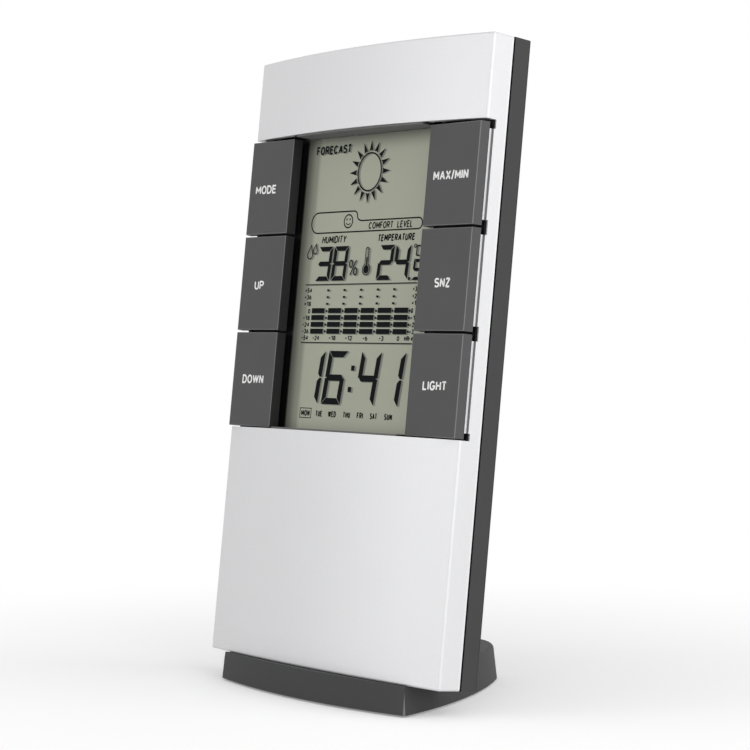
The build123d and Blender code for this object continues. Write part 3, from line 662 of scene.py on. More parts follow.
LETTER_SPACE = 0.1
LEFT = run((0, 0), (0, 1))
RIGHT = run((1, 0), (1, 1))
FALL = run((0, 1), (1, 0))
ROUND = ring((0.5, 0.5), (0.5, 0.5))
BOWL = chain(LEFT, bow((0.5, 0.74), (0.5, 0.26), 90, -90), run((0, 0.48)))
GLYPHS: Dict[str, Glyph] = {
    "A": letter(0.62, run((0, 0), (0.5, 1)), run((0.5, 1), (1, 0)), level(0.34, 0.2, 0.8)),
    "C": letter(0.62, bow((0.5, 0.5), (0.5, 0.5), 42, 318)),
    "D": letter(0.58, Stroke(chain(run((0, 1), (0, 0)), bow((0.4, 0.5), (0.6, 0.5), -90, 90)), True)),
    "E": letter(0.48, run((1, 1), (0, 1), (0, 0), (1, 0)), level(0.53, 0, 0.9)),
    "F": letter(0.46, run((1, 1), (0, 1), (0, 0)), level(0.51, 0, 0.86)),
    "G": letter(0.64, chain(bow((0.5, 0.5), (0.5, 0.5), 42, 328), run((1, 0.44), (0.56, 0.44)))),
    "H": letter(0.54, LEFT, RIGHT, level(0.52)),
    "I": letter(0, run((0.5, 0), (0.5, 1))),
    "L": letter(0.44, run((0, 1), (0, 0), (1, 0))),
    "M": letter(0.68, LEFT, RIGHT, run((0, 1), (0.5, 0.25)), run((0.5, 0.25), (1, 1))),
    "N": letter(0.54, LEFT, RIGHT, FALL),
    "O": letter(0.64, ROUND),
    "P": letter(0.52, BOWL),
    "R": letter(0.55, BOWL, run((0.5, 0.48), (1, 0))),
    "S": letter(0.56, chain(bow((0.5, 0.755), (0.46, 0.245), 28, 262),
                            bow((0.5, 0.255), (0.5, 0.255), 82, -152))),
    "T": letter(0.5, level(1), run((0.5, 1), (0.5, 0))),
    "U": letter(0.54, chain(run((0, 1)), bow((0.5, 0.34), (0.5, 0.34), 180, 360), run((1, 1)))),
    "V": letter(0.58, run((0, 1), (0.5, 0)), run((0.5, 0), (1, 1))),
    "W": letter(0.86, run((0, 1), (0.25, 0)), run((0.25, 0), (0.5, 1)), run((0.5, 1), (0.75, 0)),
                run((0.75, 0), (1, 1))),
    "X": letter(0.56, run((0, 0), (1, 1)), FALL),
    "Y": letter(0.56, run((0, 1), (0.5, 0.45)), run((1, 1), (0.5, 0.45)), run((0.5, 0.5), (0.5, 0))),
    "Z": letter(0.52, level(1), run((1, 1), (0, 0)), level(0)),
    "/": letter(0.24, run((0, -0.08), (1, 1.08))),
    "%": letter(0.78, ring((0.2, 0.76), (0.2, 0.24)), ring((0.8, 0.24), (0.2, 0.24)),
                run((0.16, 0), (0.84, 1))),
    "+": letter(0.46, level(0.5), run((0.5, 0.22), (0.5, 0.78))),
    "-": letter(0.4, level(0.5)),
    "0": letter(0.48, ROUND),
    "1": letter(0.26, run((0, 0.78), (1, 1), (1, 0))),
    "2": letter(0.48, chain(bow((0.5, 0.7), (0.5, 0.3), 165, -25), level(0))),
    "3": letter(0.48, bow((0.44, 0.75), (0.5, 0.25), 150, -90), bow((0.44, 0.25), (0.56, 0.25), 90, -150)),
    "4": letter(0.5, run((0.74, 0), (0.74, 1)), run((0.74, 1), (0, 0.28)), level(0.28)),
    "5": letter(0.48, chain(run((0.92, 1), (0.12, 1), (0.06, 0.5)),
                            bow((0.44, 0.31), (0.56, 0.31), 118, -150))),
    "6": letter(0.48, ring((0.5, 0.3), (0.5, 0.3)), bow((0.72, 0.36), (0.72, 0.64), 108, 184)),
    "8": letter(0.48, ring((0.5, 0.76), (0.42, 0.24)), ring((0.5, 0.25), (0.5, 0.25)))}


def unit(rows: Rows) -> Rows:
    """Rows scaled to length one."""
    return rows / np.linalg.norm(rows, axis=1, keepdims=True)


def aside(rows: Rows) -> Rows:
    """Rows of u and v turned left by a right angle."""
    return np.stack([-rows[:, 1], rows[:, 0]], axis=1)


def raised(rows: Rows, height: float) -> Rows:
    """Rows of u and v with a height added."""
    return np.column_stack([rows, np.full(len(rows), height)])


def make_object(name: str, rows: Rows, faces: Sequence[Sequence[int]]) -> Thing:
    """Link a new mesh object.

    Args:
        name: Name of the mesh and the object.
        rows: Points in the shared frame.
        faces: Numbers of the points round each face.

    Returns:
        The object, at the origin.
    """
    mesh = bpy.data.meshes.new(name)
    mesh.from_pydata(rows.tolist(), [], faces)
    mesh.validate()
    mesh.update()
    made = bpy.data.objects.new(name, mesh)
    bpy.context.scene.collection.objects.link(made)
    return made


@dataclass
class Patchwork:
    """Collects thin flat-topped patches drawn in u (right), v (up) and h (height off a surface).

    Top and bottom are the heights of the patches' faces in millimetres.
    """

    top: float
    bottom: float
    sharpest: float = 0.5
    rows: List[Rows] = field(default_factory=list)
    faces: List[Tuple[int, ...]] = field(default_factory=list)
    count: int = 0

    def _add(self, rows: Rows, faces: Sequence[Sequence[int]]) -> None:
        """Append one patch.

        Args:
            rows: Rows of u, v and h.
            faces: Faces that number these rows from zero.
        """
        start = self.count
        self.rows.append(rows)
        self.faces.extend(tuple(int(index) + start for index in face) for face in faces)
        self.count += len(rows)

    def repeat(self, other: "Patchwork", reach: Point) -> None:
        """Add another patchwork's patches, moved by reach and set to this one's heights.

        Args:
            other: Patches to repeat.
            reach: Move along u and v in millimetres.
        """
        rows = np.vstack(other.rows)
        height = np.where(rows[:, 2] > 0.0, self.top, self.bottom)
        self._add(np.column_stack([rows[:, 0] + reach[0], rows[:, 1] + reach[1], height]), other.faces)

    def plate(self, outline: Rows) -> None:
        """Add a convex plate.

        The outline is repeated at the upper and the lower height; the two copies are the
        caps, and each edge of the outline is carried from one to the other as a wall.

        Args:
            outline: Rows of u and v round the plate.
        """
        u, v = outline.T
        area = np.sum(u * np.roll(v, -1) - np.roll(u, -1) * v)
        ring = outline if area > 0 else outline[::-1]
        number = len(ring)
        step = np.arange(number)
        after = np.roll(step, -1)
        walls = np.stack([step, step + number, after + number, after], axis=1)
        self._add(chain(raised(ring, self.top), raised(ring, self.bottom)),
                  [step, (step + number)[::-1], *walls])

    def bar(self, box: Box) -> None:
        """Add a square-cornered plate."""
        self.plate(box_outline(box))

    def tile(self, centre: Point, half: Point) -> None:
        """Add a square-cornered plate about a centre, of half sizes along u and v."""
        (u, v), (across, up) = centre, half
        self.bar((u - across, u + across, v - up, v + up))

    def stroke(self, path: Rows, width: float, closed: bool = False) -> None:
        """Add a line of even width along a path.

        A flat profile of four corners is carried along the path: each point is moved half
        the width to both sides along the mitred normal, at the upper and lower height. The
        mitre of a corner past the sharpest cosine is held to that of the sharpest.

        Args:
            path: Rows of u and v along the line.
            width: Line width in millimetres.
            closed: Whether the last point joins the first.
        """
        if closed:
            before, after = np.roll(path, 1, axis=0), np.roll(path, -1, axis=0)
        else:
            before = np.vstack([path[:1] * 2 - path[1:2], path[:-1]])
            after = np.vstack([path[1:], path[-1:] * 2 - path[-2:-1]])
        first, second = unit(path - before), unit(after - path)
        normal = unit(aside(first + second))
        cosine = np.abs(np.sum(normal * aside(first), axis=1, keepdims=True))
        shift = normal * (width / 2) / np.maximum(cosine, self.sharpest)
        number = len(path)
        rails = [raised(path + shift, self.top), raised(path - shift, self.top),
                 raised(path - shift, self.bottom), raised(path + shift, self.bottom)]
        step = np.arange(number if closed else number - 1)
        ahead = (step + 1) % number
        rail = np.arange(len(rails))[:, None] * number
        beside = np.roll(rail, -1, axis=0)
        quads = np.stack([rail + step, beside + step, beside + ahead, rail + ahead], axis=-1)
        ends = [] if closed else [rail[::-1, 0], rail[:, 0] + number - 1]
        self._add(chain(*rails), [*quads.reshape(-1, 4), *ends])

    def word(self, text: str, box: Box, weight: float, slant: float = 0.0) -> None:
        """Add lettering of the stroke face.

        The letters' widths and the spaces between them are scaled alike so that the line
        fills the box; every stroke is then sheared about the box's middle by the slant.

        Args:
            text: Words to set.
            box: Left, right, lower and upper limit in millimetres.
            weight: Line width in millimetres.
            slant: Shift to the right for each unit of height.
        """
        left, right, low, high = box
        widths = [GLYPHS[sign].width for sign in text]
        run_width = sum(widths) + LETTER_SPACE * (len(text) - 1)
        scale = (right - left - weight * len(text)) / run_width
        start = left + weight / 2
        for sign, width in zip(text, widths):
            for stroke in GLYPHS[sign].strokes:
                v = low + weight / 2 + stroke.path[:, 1] * (high - low - weight)
                u = start + stroke.path[:, 0] * width * scale + (v - (low + high) / 2) * slant
                self.stroke(np.column_stack([u, v]), weight, stroke.closed)
            start += (width + LETTER_SPACE) * scale + weight

    def build(self, name: str, surface: Surface) -> Thing:
        """Make one object from all the patches, put in the shared frame by the surface."""
        return make_object(name, surface(np.vstack(self.rows)), self.faces)


class Bar(Enum):
    """The seven bars of a numeral."""

    TOP = "a"
    RIGHT_HIGH = "b"
    RIGHT_LOW = "c"
    FOOT = "d"
    LEFT_LOW = "e"
    LEFT_HIGH = "f"
    MIDDLE = "g"


NUMERALS: Dict[str, str] = {"1": "bc", "2": "abdeg", "3": "abcdg", "4": "bcfg", "5": "acdfg", "6": "acdefg",
                            "8": "abcdefg"}


@dataclass(frozen=True)
class BarNumeral:
    """One seven-bar numeral: its cell, bar width, gap and slant."""

    left: float
    low: float
    width: float
    height: float
    bar: float
    gap: float
    slant: float

    def outline(self, bar: Bar) -> Rows:
        """Outline of one bar.

        The end bars are mitred at 45 degrees against the upright ones, the middle bar is
        pointed at both ends, and every meeting edge is held back by half the gap. The
        left and lower bars are mirror images of the right and upper ones.

        Args:
            bar: Which bar.

        Returns:
            Rows of u and v, sheared by the slant.
        """
        w, h, t, g = self.width, self.height, self.bar, self.gap
        mid, half, near, far = h / 2, t / 2, g + t / 4, g + 3 * t / 4
        level_bar = np.array([(g, h), (w - g, h), (w - g - t, h - t), (g + t, h - t)])
        upright = np.array([(w, h - g), (w, mid + g), (w - half, mid + g), (w - t, mid + half + g),
                            (w - t, h - t - g)])
        middle = np.array([(near, mid), (far, mid + half), (w - far, mid + half), (w - near, mid),
                           (w - far, mid - half), (far, mid - half)])
        shapes = {Bar.TOP: (level_bar, False, False), Bar.FOOT: (level_bar, False, True),
                  Bar.RIGHT_HIGH: (upright, False, False), Bar.RIGHT_LOW: (upright, False, True),
                  Bar.LEFT_HIGH: (upright, True, False), Bar.LEFT_LOW: (upright, True, True),
                  Bar.MIDDLE: (middle, False, False)}
        points, across, down = shapes[bar]
        u = w - points[:, 0] if across else points[:, 0]
        v = h - points[:, 1] if down else points[:, 1]
        return np.column_stack([self.left + u + (v - h / 2) * self.slant, self.low + v])

    def draw(self, art: Patchwork, figure: str) -> None:
        """Add the bars of a figure to the art."""
        for name in NUMERALS[figure]:
            art.plate(self.outline(Bar(name)))


@dataclass
class DisplayArt(Patchwork):
    """What the display shows, drawn in the case frame's x and z. Each piece has a method of its own."""

    dots: Tuple[float, ...] = (-11.75, -5.5, 0.75, 7.0, 13.0)
    dot_rows: Tuple[float, ...] = (91.65, 89.95, 88.3)
    bar_dot_rows: Tuple[float, ...] = (86.5, 84.8, 83.15, 81.5)
    foot_row: float = 79.85
    scale_half: float = 0.6
    scale_weight: float = 0.27
    weekdays: Tuple[Tuple[str, float, float], ...] = (
        ("MON", -18.15, -14.85), ("TUE", -12.55, -9.95), ("WED", -7.7, -4.65), ("THU", -2.0, 0.7),
        ("FRI", 3.2, 5.5), ("SAT", 8.05, 10.65), ("SUN", 13.25, 16.1))

    def forecast(self) -> None:
        """Draw the sun symbol, a ring with sixteen tapered rays, and the word beside it."""
        rays, half, dent = 16, 0.68, 0.22
        centre, root, tip = run((0.1, 120.5), (4.8, 5.15), (7.5, 7.75))
        self.stroke(circle(centre, (4.3, 4.65), steps=64), width=0.38, closed=True)
        for angle in np.radians(np.arange(rays) * 360.0 / rays):
            way = np.array([math.cos(angle), math.sin(angle)])
            side = np.array([-way[1], way[0]]) * half
            base = centre + way * root
            self.plate(np.array([base - side, centre + way * tip, base + side, base + way * dent]))
        self.word("FORECAST", (-21.0, -7.55, 125.6, 127.8), weight=0.46, slant=0.05)

    def comfort(self) -> None:
        """Draw the comfort outline, a plain round face and the words in and below it."""
        low, high, step_high = 105.95, 111.05, 108.6
        end, right, corner = (high - low) / 2, 19.7, 1.3
        path = chain(arc((-18.0, low + end), (end, end), 270.0, 90.0, 20),
                     run((-4.6, high)),
                     arc((-4.4, high - 1.2), (1.4, 1.2), 80.0, 25.0, 6),
                     arc((-1.1, step_high + 1.15), (1.9, 1.15), 200.0, 270.0, 8),
                     arc((right, step_high - corner), (corner, corner), 90.0, 0.0, 10),
                     arc((right, low + corner), (corner, corner), 0.0, -90.0, 10))
        self.stroke(path, width=0.34, closed=True)
        u, v = face = (-6.3, 108.6)
        smile, eyes = (u, v - 0.1), ((u - 0.6, v + 0.45), (u + 0.6, v + 0.45))
        self.stroke(circle(face, (1.6, 1.6)), width=0.33, closed=True)
        for eye in eyes:
            self.plate(circle(eye, (0.22, 0.28), steps=16))
        self.stroke(arc(smile, (0.85, 0.75), 205.0, 335.0, 14), width=0.22)
        self.word("COMFORT", (1.55, 10.55, 106.4, 108.12), weight=0.31, slant=0.08)
        self.word("LEVEL", (12.05, 17.6, 106.4, 108.12), weight=0.31, slant=0.08)
        self.word("HUMIDITY", (-15.75, -6.5, 103.3, 105.15), weight=0.33, slant=0.16)
        self.word("TEMPERATURE", (5.4, 18.85, 103.25, 105.0), weight=0.37, slant=0.1)

    def drop(self, centre: Point, radius: float, tip: Point) -> None:
        """Add the outline of a drop: most of a circle whose ends run to a tip."""
        bowl = arc(centre, (radius, radius), 150.0, 390.0, 22)
        self.stroke(chain(bowl, run(tip)), width=0.28, closed=True)

    def tube(self, u: float, bulb: float, top: float) -> None:
        """Draw a thermometer: outline, filled bulb and stem, and marks up its side.

        Args:
            u: Middle of the tube.
            bulb: Height of the bulb's centre.
            top: Height of the centre of the rounded top.
        """
        neck, bowl, fill, stem, mark = 0.55, 1.35, 1.0, 0.22, 0.16
        self.stroke(chain(arc((u, top), (neck, neck), 0.0, 180.0, 14),
                          arc((u, bulb), (bowl, bowl), 116.0, 424.0, 30)), width=0.24, closed=True)
        self.plate(circle((u, bulb), (fill, fill), steps=30))
        self.bar((u - stem, u + stem, bulb + 0.4, bulb + 3.0))
        for v in np.arange(bulb + 2.0, top, 0.55):
            self.bar((u + 0.15, u + 0.5, v, v + mark))

    def readings(self) -> None:
        """Draw the humidity and temperature numerals with their small symbols."""
        for left, low, width, height, figure in (
                (-17.0, 94.0, 5.5, 8.5, "3"), (-10.95, 94.0, 5.5, 8.5, "8"),
                (6.2, 93.9, 5.35, 8.45, "2"), (12.15, 93.9, 5.35, 8.45, "4")):
            BarNumeral(left, low, width, height, bar=1.14, gap=0.15, slant=0.09).draw(self, figure)
        BarNumeral(19.0, 93.75, 2.9, 5.0, bar=0.75, gap=0.07, slant=0.09).draw(self, "5")
        self.bar((17.55, 18.25, 93.75, 94.5))
        self.word("%", (-4.65, -1.35, 95.15, 99.1), weight=0.34)
        self.stroke(circle((19.25, 101.9), (0.4, 0.4), steps=20), width=0.2, closed=True)
        self.stroke(run((21.1, 101.9), (20.1, 101.9), (19.9, 101.7), (19.8, 99.9), (20.0, 99.6),
                        (21.0, 99.6)), width=0.34)
        self.drop((-20.15, 100.6), 1.0, (-19.9, 103.0))
        self.drop((-18.25, 101.55), 0.75, (-18.0, 103.25))
        self.tube(1.9, bulb=96.6, top=101.4)

    def chart(self) -> None:
        """Draw the chart: four full rows of six bars, dots between the columns, two rules."""
        width, height = 4.95, 1.24
        for v in (86.0, 84.3, 82.6, 80.9):
            for u in (-17.5, -11.1, -4.85, 1.3, 7.6, 13.65):
                self.bar((u, u + width, v, v + height))
        last_dot = 19.1
        for rows, dots, half in ((self.dot_rows, self.dots, (0.42, 0.25)),
                                 (self.bar_dot_rows, (*self.dots, last_dot), (0.32, 0.24))):
            for v in rows:
                for u in dots:
                    self.tile((u, v), half)
        half_rule = 0.12
        for v in (93.1, 78.7):
            self.bar((-20.85, 20.9, v - half_rule, v + half_rule))

    def scales(self) -> None:
        """Draw the small figures beside and below the chart."""
        rows = (*self.dot_rows, *self.bar_dot_rows, self.foot_row)
        left_end, left_sign, right_start, right_sign, half_sign = -18.1, 0.9, 19.6, 0.78, 0.45
        signs = [(text, left_end - left_sign * len(text), left_end, v) for text, v in
                 zip(("+54", "+36", "+18", "0", "-18", "-24", "-36", "-54"), rows)]
        signs += [(text, right_start, right_start + right_sign * len(text), v) for text, v in
                  zip(("+3", "+2", "+1", "0", "-1", "-2", "-3", "-4"), rows)]
        signs += [(text, u - half_sign * len(text), u + half_sign * len(text), self.foot_row) for text, u in
                  (("-24", -15.05), ("-18", -8.7), ("-12", -2.45), ("-6", 3.75), ("-3", 9.7), ("0", 15.85),
                   ("HR", 18.9))]
        for text, left, right, v in signs:
            self.word(text, (left, right, v - self.scale_half, v + self.scale_half), self.scale_weight)

    def time(self) -> None:
        """Draw the hours and minutes with the colon between them."""
        for left, figure in ((-18.75, "1"), (-10.05, "6"), (2.35, "4"), (11.15, "1")):
            BarNumeral(left, 63.6, 7.3, 13.1, bar=1.55, gap=0.13, slant=0.135).draw(self, figure)
        for dot in ((0.2, 72.6), (-0.4, 67.4)):
            self.tile(dot, (0.62, 0.62))

    def days(self) -> None:
        """Draw the row of weekdays, the first one boxed."""
        for text, left, right in self.weekdays:
            self.word(text, (left, right, 60.45, 61.95), weight=0.32)
        self.stroke(box_outline((-18.65, -14.35, 60.05, 62.4)), width=0.2, closed=True)


@dataclass(frozen=True)
class PaintedShadow:
    """A painted shadow of the bold art: its ink, its move along u and v, its share of the height."""

    ink: Ink
    reach: Point
    height_share: float


@dataclass
class DisplayFace:
    """The display: film, glass and what it shows, drawn on the film's front."""

    case: CaseFrame
    film_front: float = 2.0
    thickness: float = 0.03
    sunk: float = 0.01
    art_shift: Place = (0.15, 0.0, -0.2)
    film: DisplayFilm = DisplayFilm("display_film", (0.358, 0.368, 0.293), (0.402, 0.414, 0.331))
    ink: Ink = Ink("display_ink", (0.011, 0.012, 0.013), spread=0.15, specular=0.0)
    painted_shadows: Tuple[PaintedShadow, ...] = (
        PaintedShadow(Ink("display_near_shade", (0.17, 0.176, 0.152), spread=0.06, specular=0.0), (0.4, -0.12), 0.6),
        PaintedShadow(Ink("display_far_shade", (0.225, 0.232, 0.192), spread=0.06, specular=0.0), (0.75, -0.2), 0.3))
    glass: ClearSheet = ClearSheet("display_glass", (0.86, 0.93, 0.88))
    guide: ClearSheet = ClearSheet("guide_acrylic", (0.93, 0.95, 0.96), 1.49)
    reflector: MouldedPlastic = MouldedPlastic("reflector_film", (0.78, 0.78, 0.76), 0.6, 0.3, 0.004,
                                               spread=0.04)
    # Painted shade: the bezel beyond the display, whose tabs fill the notches at the key ends, is painted
    # near black.
    bezel: MouldedPlastic = MouldedPlastic("bezel_plastic", (0.15, 0.15, 0.148), 0.5, specular=0.1,
                                           bands=(Band(0.05, reach=(23.6, 50.0)),))
    pieces: Tuple[str, ...] = ("forecast", "comfort", "readings", "chart", "scales", "time", "days")
    bold: Tuple[str, ...] = ("forecast", "readings", "chart", "time")

    def surface(self, rows: Rows) -> Rows:
        """Place u, v, h on the film: h is counted out of the film's front plane."""
        u, v, h = rows.T
        return self.case.place(np.column_stack([u, self.film_front - h, v]) + self.art_shift)

    def finish(self, name: str, art: Patchwork, ink: Ink) -> Thing:
        """Build one piece of art and let it ride on the case.

        Args:
            name: Name of the piece.
            art: What it shows.
            ink: Its finish.

        Returns:
            The piece.
        """
        made = art.build(name, self.surface)
        made.data.materials.append(ink.material())
        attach(made, "case")
        return made

    def dress(self) -> List[Thing]:
        """Finish the display's solids and add the art and its painted shadows.

        Returns:
            The pieces of art.
        """
        for node, finish in (("front_polariser", self.film), ("lcd_glass", self.glass),
                             ("light_guide", self.guide), ("display_bezel", self.bezel),
                             ("reflector_film", self.reflector)):
            put(finish, node)
        arts = {name: DisplayArt(self.thickness, -self.sunk) for name in self.pieces}
        for name, art in arts.items():
            getattr(art, name)()
        made = [self.finish("display_" + name, art, self.ink) for name, art in arts.items()]
        # Painted shadows: the bold art repeated lower, moved right and down, in darker film tones.
        for painted_shadow in self.painted_shadows:
            painted_shadow_art = Patchwork(self.thickness * painted_shadow.height_share, -self.sunk)
            for name in self.bold:
                painted_shadow_art.repeat(arts[name], painted_shadow.reach)
            made.append(self.finish(painted_shadow.ink.name, painted_shadow_art, painted_shadow.ink))
        return made


@dataclass
class CaseShells:
    """Silver front, dark rear, battery door and the screws that join them."""

    paint: SilverPaint = SilverPaint("silver_paint", (0.65, 0.65, 0.66), spread=0.07, bands=(
        # Painted light: the side lips under the key skirts are painted brighter than the rest of the silver.
        Band(1.25, (42.2, 42.9), (0.0, 1.84), (56.5, 130.1)),
        # Painted shade: a dark line along the ledge beside the side lips.
        Band(0.3, (42.2, 50.0), (1.84, 1.95), (56.5, 130.1)),
        # Painted highlight: a pale line along the silver side's rear edge, by the seam.
        Band(1.2, (40.0, 50.0), (5.55, 6.0))))
    rear: MouldedPlastic = MouldedPlastic("rear_plastic", (0.039, 0.039, 0.04), 0.5, specular=0.25, bands=(
        # Painted shade: the seam groove at the rear housing's front rim is painted black, and the rear of
        # its side faces, towards the back edge, is painted darker.
        Band(0.0, depth=(5.8, 6.4)), Band(0.3, (42.2, 50.0), (10.9, 50.0))))
    screw: PlatedMetal = PlatedMetal("screw_steel", (0.45, 0.45, 0.46))

    def dress(self) -> None:
        """Finish the shells."""
        put(self.paint, "front_shell")
        put(self.rear, "rear_housing", "battery_door")
        put(self.screw, "case_screws", "board_screws")


@dataclass(frozen=True)
class KeyWord:
    """One key's body and the word printed on it."""

    key: str
    text: str
    box: Box


@dataclass
class KeyBank:
    """The six keys, their words and plungers."""

    case: CaseFrame
    half_width: float = 43.0
    key_width: float = 17.5
    side_draft: float = 0.6
    outer_proud: float = 1.72
    inner_proud: float = 1.9
    thickness: float = 0.03
    sunk: float = 0.02
    print_weight: float = 0.42
    # The keys carry a painted highlight along their front edges and painted shade on their inner walls.
    plastic: WallShadedPlastic = WallShadedPlastic("key_plastic", (0.06, 0.06, 0.061), 0.52, 0.16, 0.012,
                                           specular=0.3)
    plunger: MouldedPlastic = MouldedPlastic("plunger_plastic", (0.5, 0.07, 0.05), 0.4)
    print_ink: Ink = Ink("key_print", (0.80, 0.80, 0.79), 0.5, spread=0.05)
    words: Tuple[KeyWord, ...] = (
        KeyWord("mode", "MODE", (-39.7, -31.2, 115.85, 118.05)),
        KeyWord("up", "UP", (-36.65, -32.85, 91.4, 93.65)),
        KeyWord("down", "DOWN", (-38.25, -29.55, 67.55, 69.8)),
        KeyWord("max_min", "MAX/MIN", (28.0, 39.7, 116.1, 118.35)),
        KeyWord("snooze", "SNZ", (31.4, 36.7, 91.15, 93.4)),
        KeyWord("light", "LIGHT", (30.4, 38.4, 67.45, 69.65)))

    def surface(self, rows: Rows) -> Rows:
        """Place u, v, h on the key faces.

        The face runs straight from the inner edge, which stands further out, to the outer
        edge; h is counted out of it.

        Args:
            rows: Rows of u, v and h.

        Returns:
            Rows in the shared frame.
        """
        u, v, h = rows.T
        share = (self.half_width - self.side_draft - np.abs(u)) / (self.key_width - self.side_draft)
        face = -self.outer_proud - share * (self.inner_proud - self.outer_proud)
        return self.case.place(np.column_stack([u, face - h, v]))

    def dress(self) -> List[Thing]:
        """Finish the keys and print their words.

        Returns:
            The printed words.
        """
        put(self.plastic, *(word.key + "_key" for word in self.words))
        put(self.plunger, *(word.key + "_plunger" for word in self.words))
        ink = self.print_ink.material()
        made = []
        for word in self.words:
            art = Patchwork(self.thickness, -self.sunk)
            art.word(word.text, word.box, self.print_weight)
            piece = art.build(word.key + "_word", self.surface)
            piece.data.materials.append(ink)
            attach(piece, word.key + "_key")
            made.append(piece)
        return made


@dataclass
class Electronics:
    """Everything behind the display: board, sensors, sounder, cells and contacts."""

    finishes: Dict[str, Finish] = field(default_factory=lambda: {
        "circuit_board": BoardLaminate("board_laminate"),
        "contact_strip": MouldedPlastic("contact_rubber", (0.32, 0.30, 0.31), 0.7, 0.3, 0.01),
        "backlight_leds": MouldedPlastic("lamp_body", (0.72, 0.70, 0.58), 0.3, 0.3, 0.004),
        "switch_housings": MouldedPlastic("switch_plastic", (0.02, 0.02, 0.021), 0.4),
        "controller_blob": MouldedPlastic("resin", (0.012, 0.012, 0.013), 0.25, 0.8, 0.02),
        "chip_components": MouldedPlastic("chip_body", (0.055, 0.045, 0.035), 0.45, 0.2, 0.01),
        "humidity_sensor": MouldedPlastic("sensor_body", (0.62, 0.62, 0.58), 0.5, 0.3, 0.01),
        "pressure_sensor": PlatedMetal("sensor_can", (0.66, 0.65, 0.62)),
        "thermistor": MouldedPlastic("bead_resin", (0.03, 0.022, 0.018), 0.3, 0.5, 0.02),
        "buzzer": MouldedPlastic("buzzer_plastic", (0.02, 0.02, 0.02), 0.45, 0.3, 0.015),
        "buzzer_leads": MouldedPlastic("lead_jacket", (0.25, 0.02, 0.02), 0.4, 0.4, 0.008),
        "battery_leads": MouldedPlastic("lead_jacket_dark", (0.22, 0.02, 0.02), 0.4, 0.4, 0.008),
        "battery_cells": CellJacket("cell_jacket"),
        "terminal_contacts": PlatedMetal("contact_plate", (0.68, 0.67, 0.64), 0.24),
        "bridge_contact": PlatedMetal("bridge_plate", (0.68, 0.67, 0.64), 0.24)})

    def dress(self) -> None:
        """Finish every inner solid."""
        for node, finish in self.finishes.items():
            put(finish, node)


@dataclass
class StandBase:
    """Plug-in stand and its four pads."""

    # The stand's rounded front edges carry a painted highlight.
    plastic: EdgeHighlightPlastic = EdgeHighlightPlastic("stand_plastic", (0.044, 0.044, 0.045), 0.6, 0.2, 0.016, specular=0.2)
    pads: MouldedPlastic = MouldedPlastic("foot_rubber", (0.03, 0.03, 0.03), 0.8, 0.35, 0.03)

    def dress(self) -> None:
        """Finish the stand and the pads."""
        put(self.plastic, "stand")
        put(self.pads, "stand_feet")


@dataclass(frozen=True)
class Lamp:
    """One soft area lamp: place and target in millimetres, size in millimetres, power in watts."""

    name: str
    place: Place
    target: Place
    width: float
    height: float
    power: float


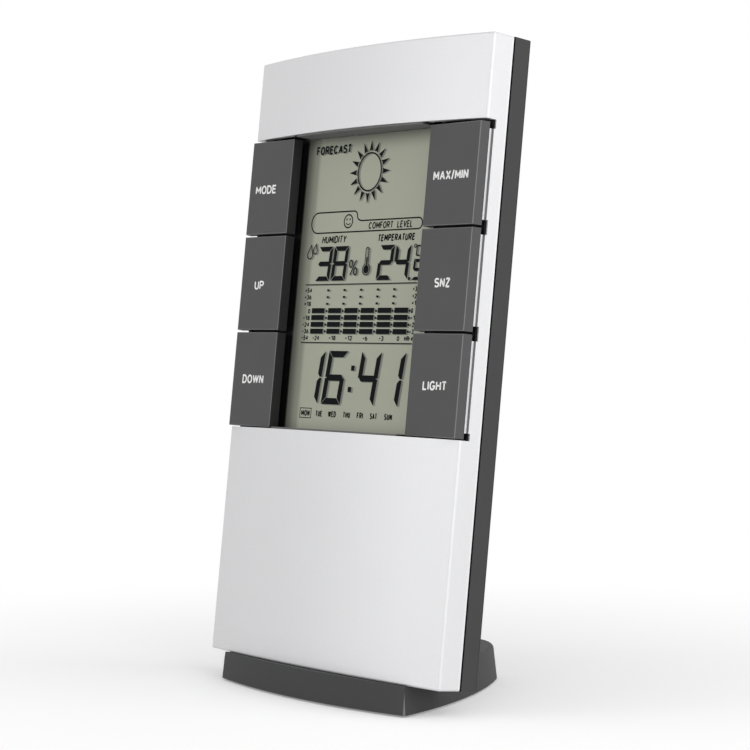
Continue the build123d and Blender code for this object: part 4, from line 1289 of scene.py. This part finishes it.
@dataclass
class Studio:
    """Pale floor, soft lamps, white surround and the camera."""

    camera_place: Place = (398.341, -346.015, 90.118)
    camera_way: Place = (-0.759565, 0.649928, -0.025561)
    lens: float = 103.198
    sensor: float = 36.0
    clip: Span = (10.0, 50000.0)
    floor_half: float = 3000.0
    floor_lines: int = 9
    floor_colour: Colour = (0.90, 0.90, 0.90)
    floor_spread: float = 0.005
    floor_drift: float = 40.0
    floor_lift: float = 0.21
    floor_near: float = 50.0
    floor_far: float = 230.0
    surround: float = 0.55
    seen_rays: Tuple[str, ...] = ("Is Camera Ray", "Is Glossy Ray", "Is Transmission Ray")
    lamps: Tuple[Lamp, ...] = (
        Lamp("front_lamp", (-216.0, -499.0, 150.0), (0.0, -15.0, 80.0), 220.0, 500.0, 0.66),
        Lamp("side_lamp", (800.0, 90.0, 360.0), (40.0, 0.0, 80.0), 1000.0, 900.0, 4.9),
        Lamp("edge_lamp", (330.0, -400.0, 130.0), (43.0, -20.0, 80.0), 220.0, 360.0, 0.56))

    def seen(self, g: Graph) -> Sock:
        """One for the rays of the camera, of gloss and of glass, else zero."""
        camera, gloss, through = (g.node("ShaderNodeLightPath", out=kind) for kind in self.seen_rays)
        return (camera + gloss + through).at_most(1.0)

    def floor(self) -> None:
        """Lay the floor: a flat grid of two parameters at height zero."""
        number = self.floor_lines
        along = np.linspace(-self.floor_half, self.floor_half, number) * MM
        x, y = np.meshgrid(along, along, indexing="ij")
        rows = np.column_stack([x.ravel(), y.ravel(), np.zeros(x.size)])
        corner = (np.arange(number - 1)[:, None] * number + np.arange(number - 1)).ravel()
        quads = np.stack([corner, corner + number, corner + number + 1, corner + 1], axis=1)
        made = make_object("floor", rows, quads.tolist())
        made.data.materials.append(self.paper())

    def paper(self) -> Material:
        """Mix pale paper that keeps the shadow near the clock and fades to white away from it.

        Returns:
            The floor's material.
        """
        material, g = new_graph("floor_paper")
        seen = self.seen(g)
        tone = g.shades(g.noise(self.floor_drift), self.floor_colour, 1.0 - self.floor_spread, 1.0)
        plain = g.node("ShaderNodeBsdfDiffuse", inputs={"Color": tone})
        lift, white = (g.node("ShaderNodeEmission", inputs={"Color": WHITE, "Strength": strength})
                       for strength in (self.floor_lift, 1.0))
        raised = g.node("ShaderNodeAddShader", inputs={0: plain, 1: lift})
        near = g.node("ShaderNodeMixShader", inputs={0: seen, 1: plain, 2: raised})
        away = g.node("ShaderNodeVectorMath", {"operation": "LENGTH"}, {0: g.place()}, out="Value")
        fade = g.rise(away, self.floor_near * MM, self.floor_far * MM)
        both = g.node("ShaderNodeMixShader", inputs={0: fade * seen, 1: near, 2: white})
        g.node("ShaderNodeOutputMaterial", inputs={"Surface": both})
        return material

    def world(self) -> None:
        """White for the camera, gloss and glass; a softer white for the light."""
        world = bpy.data.worlds.new("surround")
        bpy.context.scene.world = world
        g = Graph(world)
        soft, white = (g.node("ShaderNodeBackground", inputs={"Color": WHITE, "Strength": strength})
                       for strength in (self.surround, 1.0))
        both = g.node("ShaderNodeMixShader", inputs={0: self.seen(g), 1: soft, 2: white})
        g.node("ShaderNodeOutputWorld", inputs={"Surface": both})

    def hang(self, data: Any, place: Place, way: Vector) -> Thing:
        """Link a lamp or the camera.

        Args:
            data: The lamp's or camera's data.
            place: Where it hangs, in millimetres.
            way: Direction it looks along, without roll.

        Returns:
            The linked object.
        """
        holder = bpy.data.objects.new(data.name, data)
        holder.location = Vector(place) * MM
        holder.rotation_mode = "QUATERNION"
        holder.rotation_quaternion = way.to_track_quat("-Z", "Y")
        bpy.context.scene.collection.objects.link(holder)
        return holder

    def light(self) -> None:
        """Hang the lamps, each turned to its target."""
        for lamp in self.lamps:
            data = bpy.data.lights.new(lamp.name, "AREA")
            data.shape = "RECTANGLE"
            data.size, data.size_y = lamp.width * MM, lamp.height * MM
            data.energy = lamp.power
            self.hang(data, lamp.place, Vector(lamp.target) - Vector(lamp.place))

    def camera(self) -> None:
        """Set the camera at the photograph's place, looking along its way."""
        data = bpy.data.cameras.new("camera")
        data.sensor_width, data.lens = self.sensor, self.lens
        data.clip_start, data.clip_end = (limit * MM for limit in self.clip)
        bpy.context.scene.camera = self.hang(data, self.camera_place, Vector(self.camera_way))

    def build(self) -> None:
        """Set up the whole studio."""
        bpy.context.scene.view_settings.view_transform = "Standard"
        self.floor()
        self.world()
        self.light()
        self.camera()


def main() -> None:
    """Dress the sub-assemblies in order, set the studio and report each new piece."""
    logging.basicConfig(level=logging.INFO, format="%(name)s: %(message)s")
    case = CaseFrame()
    CaseShells().dress()
    Electronics().dress()
    StandBase().dress()
    for piece in [*KeyBank(case).dress(), *DisplayFace(case).dress()]:
        log.info("%s: %d faces", piece.name, len(piece.data.polygons))
    Studio().build()


if __name__ == "__main__":
    main()
